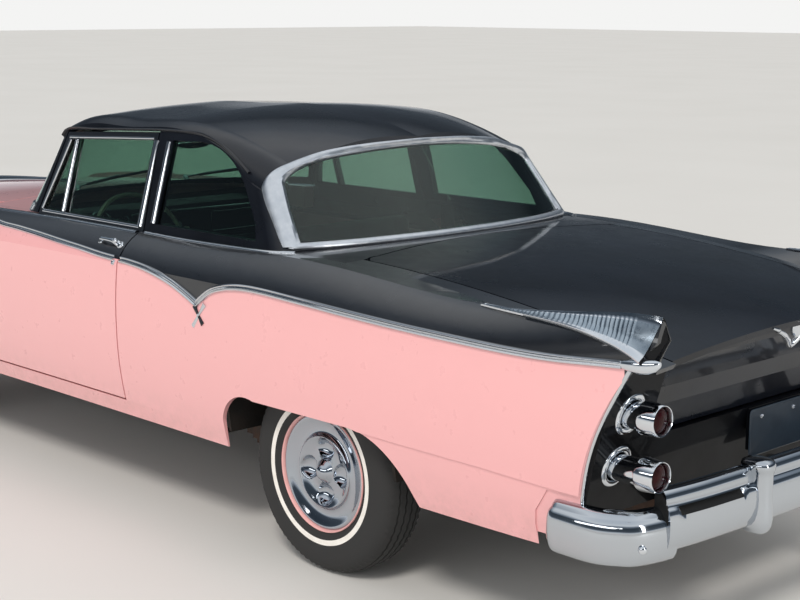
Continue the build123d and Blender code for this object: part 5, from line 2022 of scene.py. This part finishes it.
@dataclass
class Trunk:
    """What lines the trunk: the wells beside its floor and a rubber mat."""

    well_z: float = 0.486
    well_inner: float = 0.545
    well_ends: Pair = (-2.392, -1.663)
    thick: float = 0.004
    mat_x: Pair = (-2.365, -1.905)
    mat_y: float = 0.52
    ribs: int = 26
    rib_high: float = 0.0025

    def build(self) -> None:
        """Lay both wells out to the quarter panels and the mat between them."""
        skin, z = Skin("quarter_panel_left"), self.well_z
        (low, high), inner, thick, foot = self.well_ends, self.well_inner, self.thick, self.well_z - 0.003
        rows = []
        for k in range(25):
            x = low + (high - low) * k / 24
            outer = skin.hit((x, 0.0, z + 0.03), (0, 1, 0))[0].y - 0.002
            rows.append([(x, inner, z + thick), (x, outer, z + thick), (x, outer, z), (x, inner, z)])
        solid(rows).both("trunk_well", Paints.underseal)
        low, high = self.mat_x
        rows = []
        for k in range(self.ribs * 4 + 1):
            y = self.mat_y * (2 * k / (self.ribs * 4) - 1)
            lift = thick + (self.rib_high if k % 4 in (1, 2) else 0.0)
            rows.append([(low, y, foot), (low, y, foot + lift), (high, y, foot + lift), (high, y, foot)])
        solid(rows).thing("trunk_mat", Paints.seal, angle=30)


@dataclass
class Wipers:
    """Two wipers parked at the foot of the windshield."""

    pivots: tuple[tuple[str, float], ...] = (("left", 0.36), ("right", -0.26))

    def build(self) -> None:
        """Lay the arms and blades on the glass."""
        skin, up = Skin("windshield", "cowl", "roof"), (0.8, 0, 0.6)
        for word, y in self.pivots:
            arm = [spot + Vector((0.016, 0, 0.004)) for spot in skin.lay(
                [(3.0, y - 0.24 * k / 8, 1.108 + 0.036 * k / 8) for k in range(9)], (-1, 0, 0))[0]]
            blade = [spot + Vector((0.007, 0, 0.002)) for spot in skin.lay(
                [(3.0, y - 0.06 - 0.36 * k / 14, 1.118 + 0.042 * k / 14) for k in range(15)], (-1, 0, 0))[0]]
            swept(arm, up, crowned(0.009, 0.004, 0.002)).thing(
                f"wiper_arm_{word}", Paints.stainless, angle=50)
            Shape().lathe(mm((-20, 12), (4, 12), (10, 9), (12, 0)),
                          arm[0] - Vector((0.004, 0, 0)), (0.6, 0, 0.8), 24).thing(
                f"wiper_pivot_{word}", Paints.chrome, angle=45)
            swept(blade, up, crowned(0.006, 0.009, 0.005)).thing(f"wiper_blade_{word}", Paints.seal, angle=50)


@dataclass
class HoodTrim:
    """A plain bright spear along the middle of the hood."""

    ends: Pair = (1.55, 2.45)

    def build(self) -> None:
        """Lay the spear on the hood."""
        low, high = self.ends
        starts = [(low + (high - low) * k / 50, 0.0, 3.0) for k in range(51)]
        path, ups = Skin("hood").lay(starts, (0, 0, -1))
        swept(path, smoothed(ups), crowned(0.04, 0.03, 0.003, 10), scale=self.grown).thing(
            "hood_spear", Paints.chrome, "hood", angle=50)

    def grown(self, share: float) -> Pair:
        """The spear grows forward, up to a blunt nose."""
        nose = 1.0 if share < 0.94 else (1 - share) / 0.06
        return 0.25 + 0.75 * share ** 0.7, 0.3 + 0.7 * share ** 1.4 * nose


def main() -> None:
    """Build the car's dressing in order."""
    logging.basicConfig(level=logging.INFO, format="%(name)s: %(message)s")
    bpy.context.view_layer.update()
    PhotoCamera().build()
    Studio().build()
    bpy.context.scene.view_settings.view_transform = "Standard"
    for assembly in (Panels(), SpearTrim(), Greenhouse(), TailTrim(), Tyres(), WheelCovers(), Bumper(-1),
                     Bumper(1), TailLamps(), FinCaps(), Seats(), DoorFittings(), Headlamps(), Grille(),
                     Cabin(), EngineBay(), Trunk(), Wipers(), HoodTrim()):
        LOG.info("building %s", type(assembly).__name__)
        assembly.build()


if __name__ == "__main__":
    main()
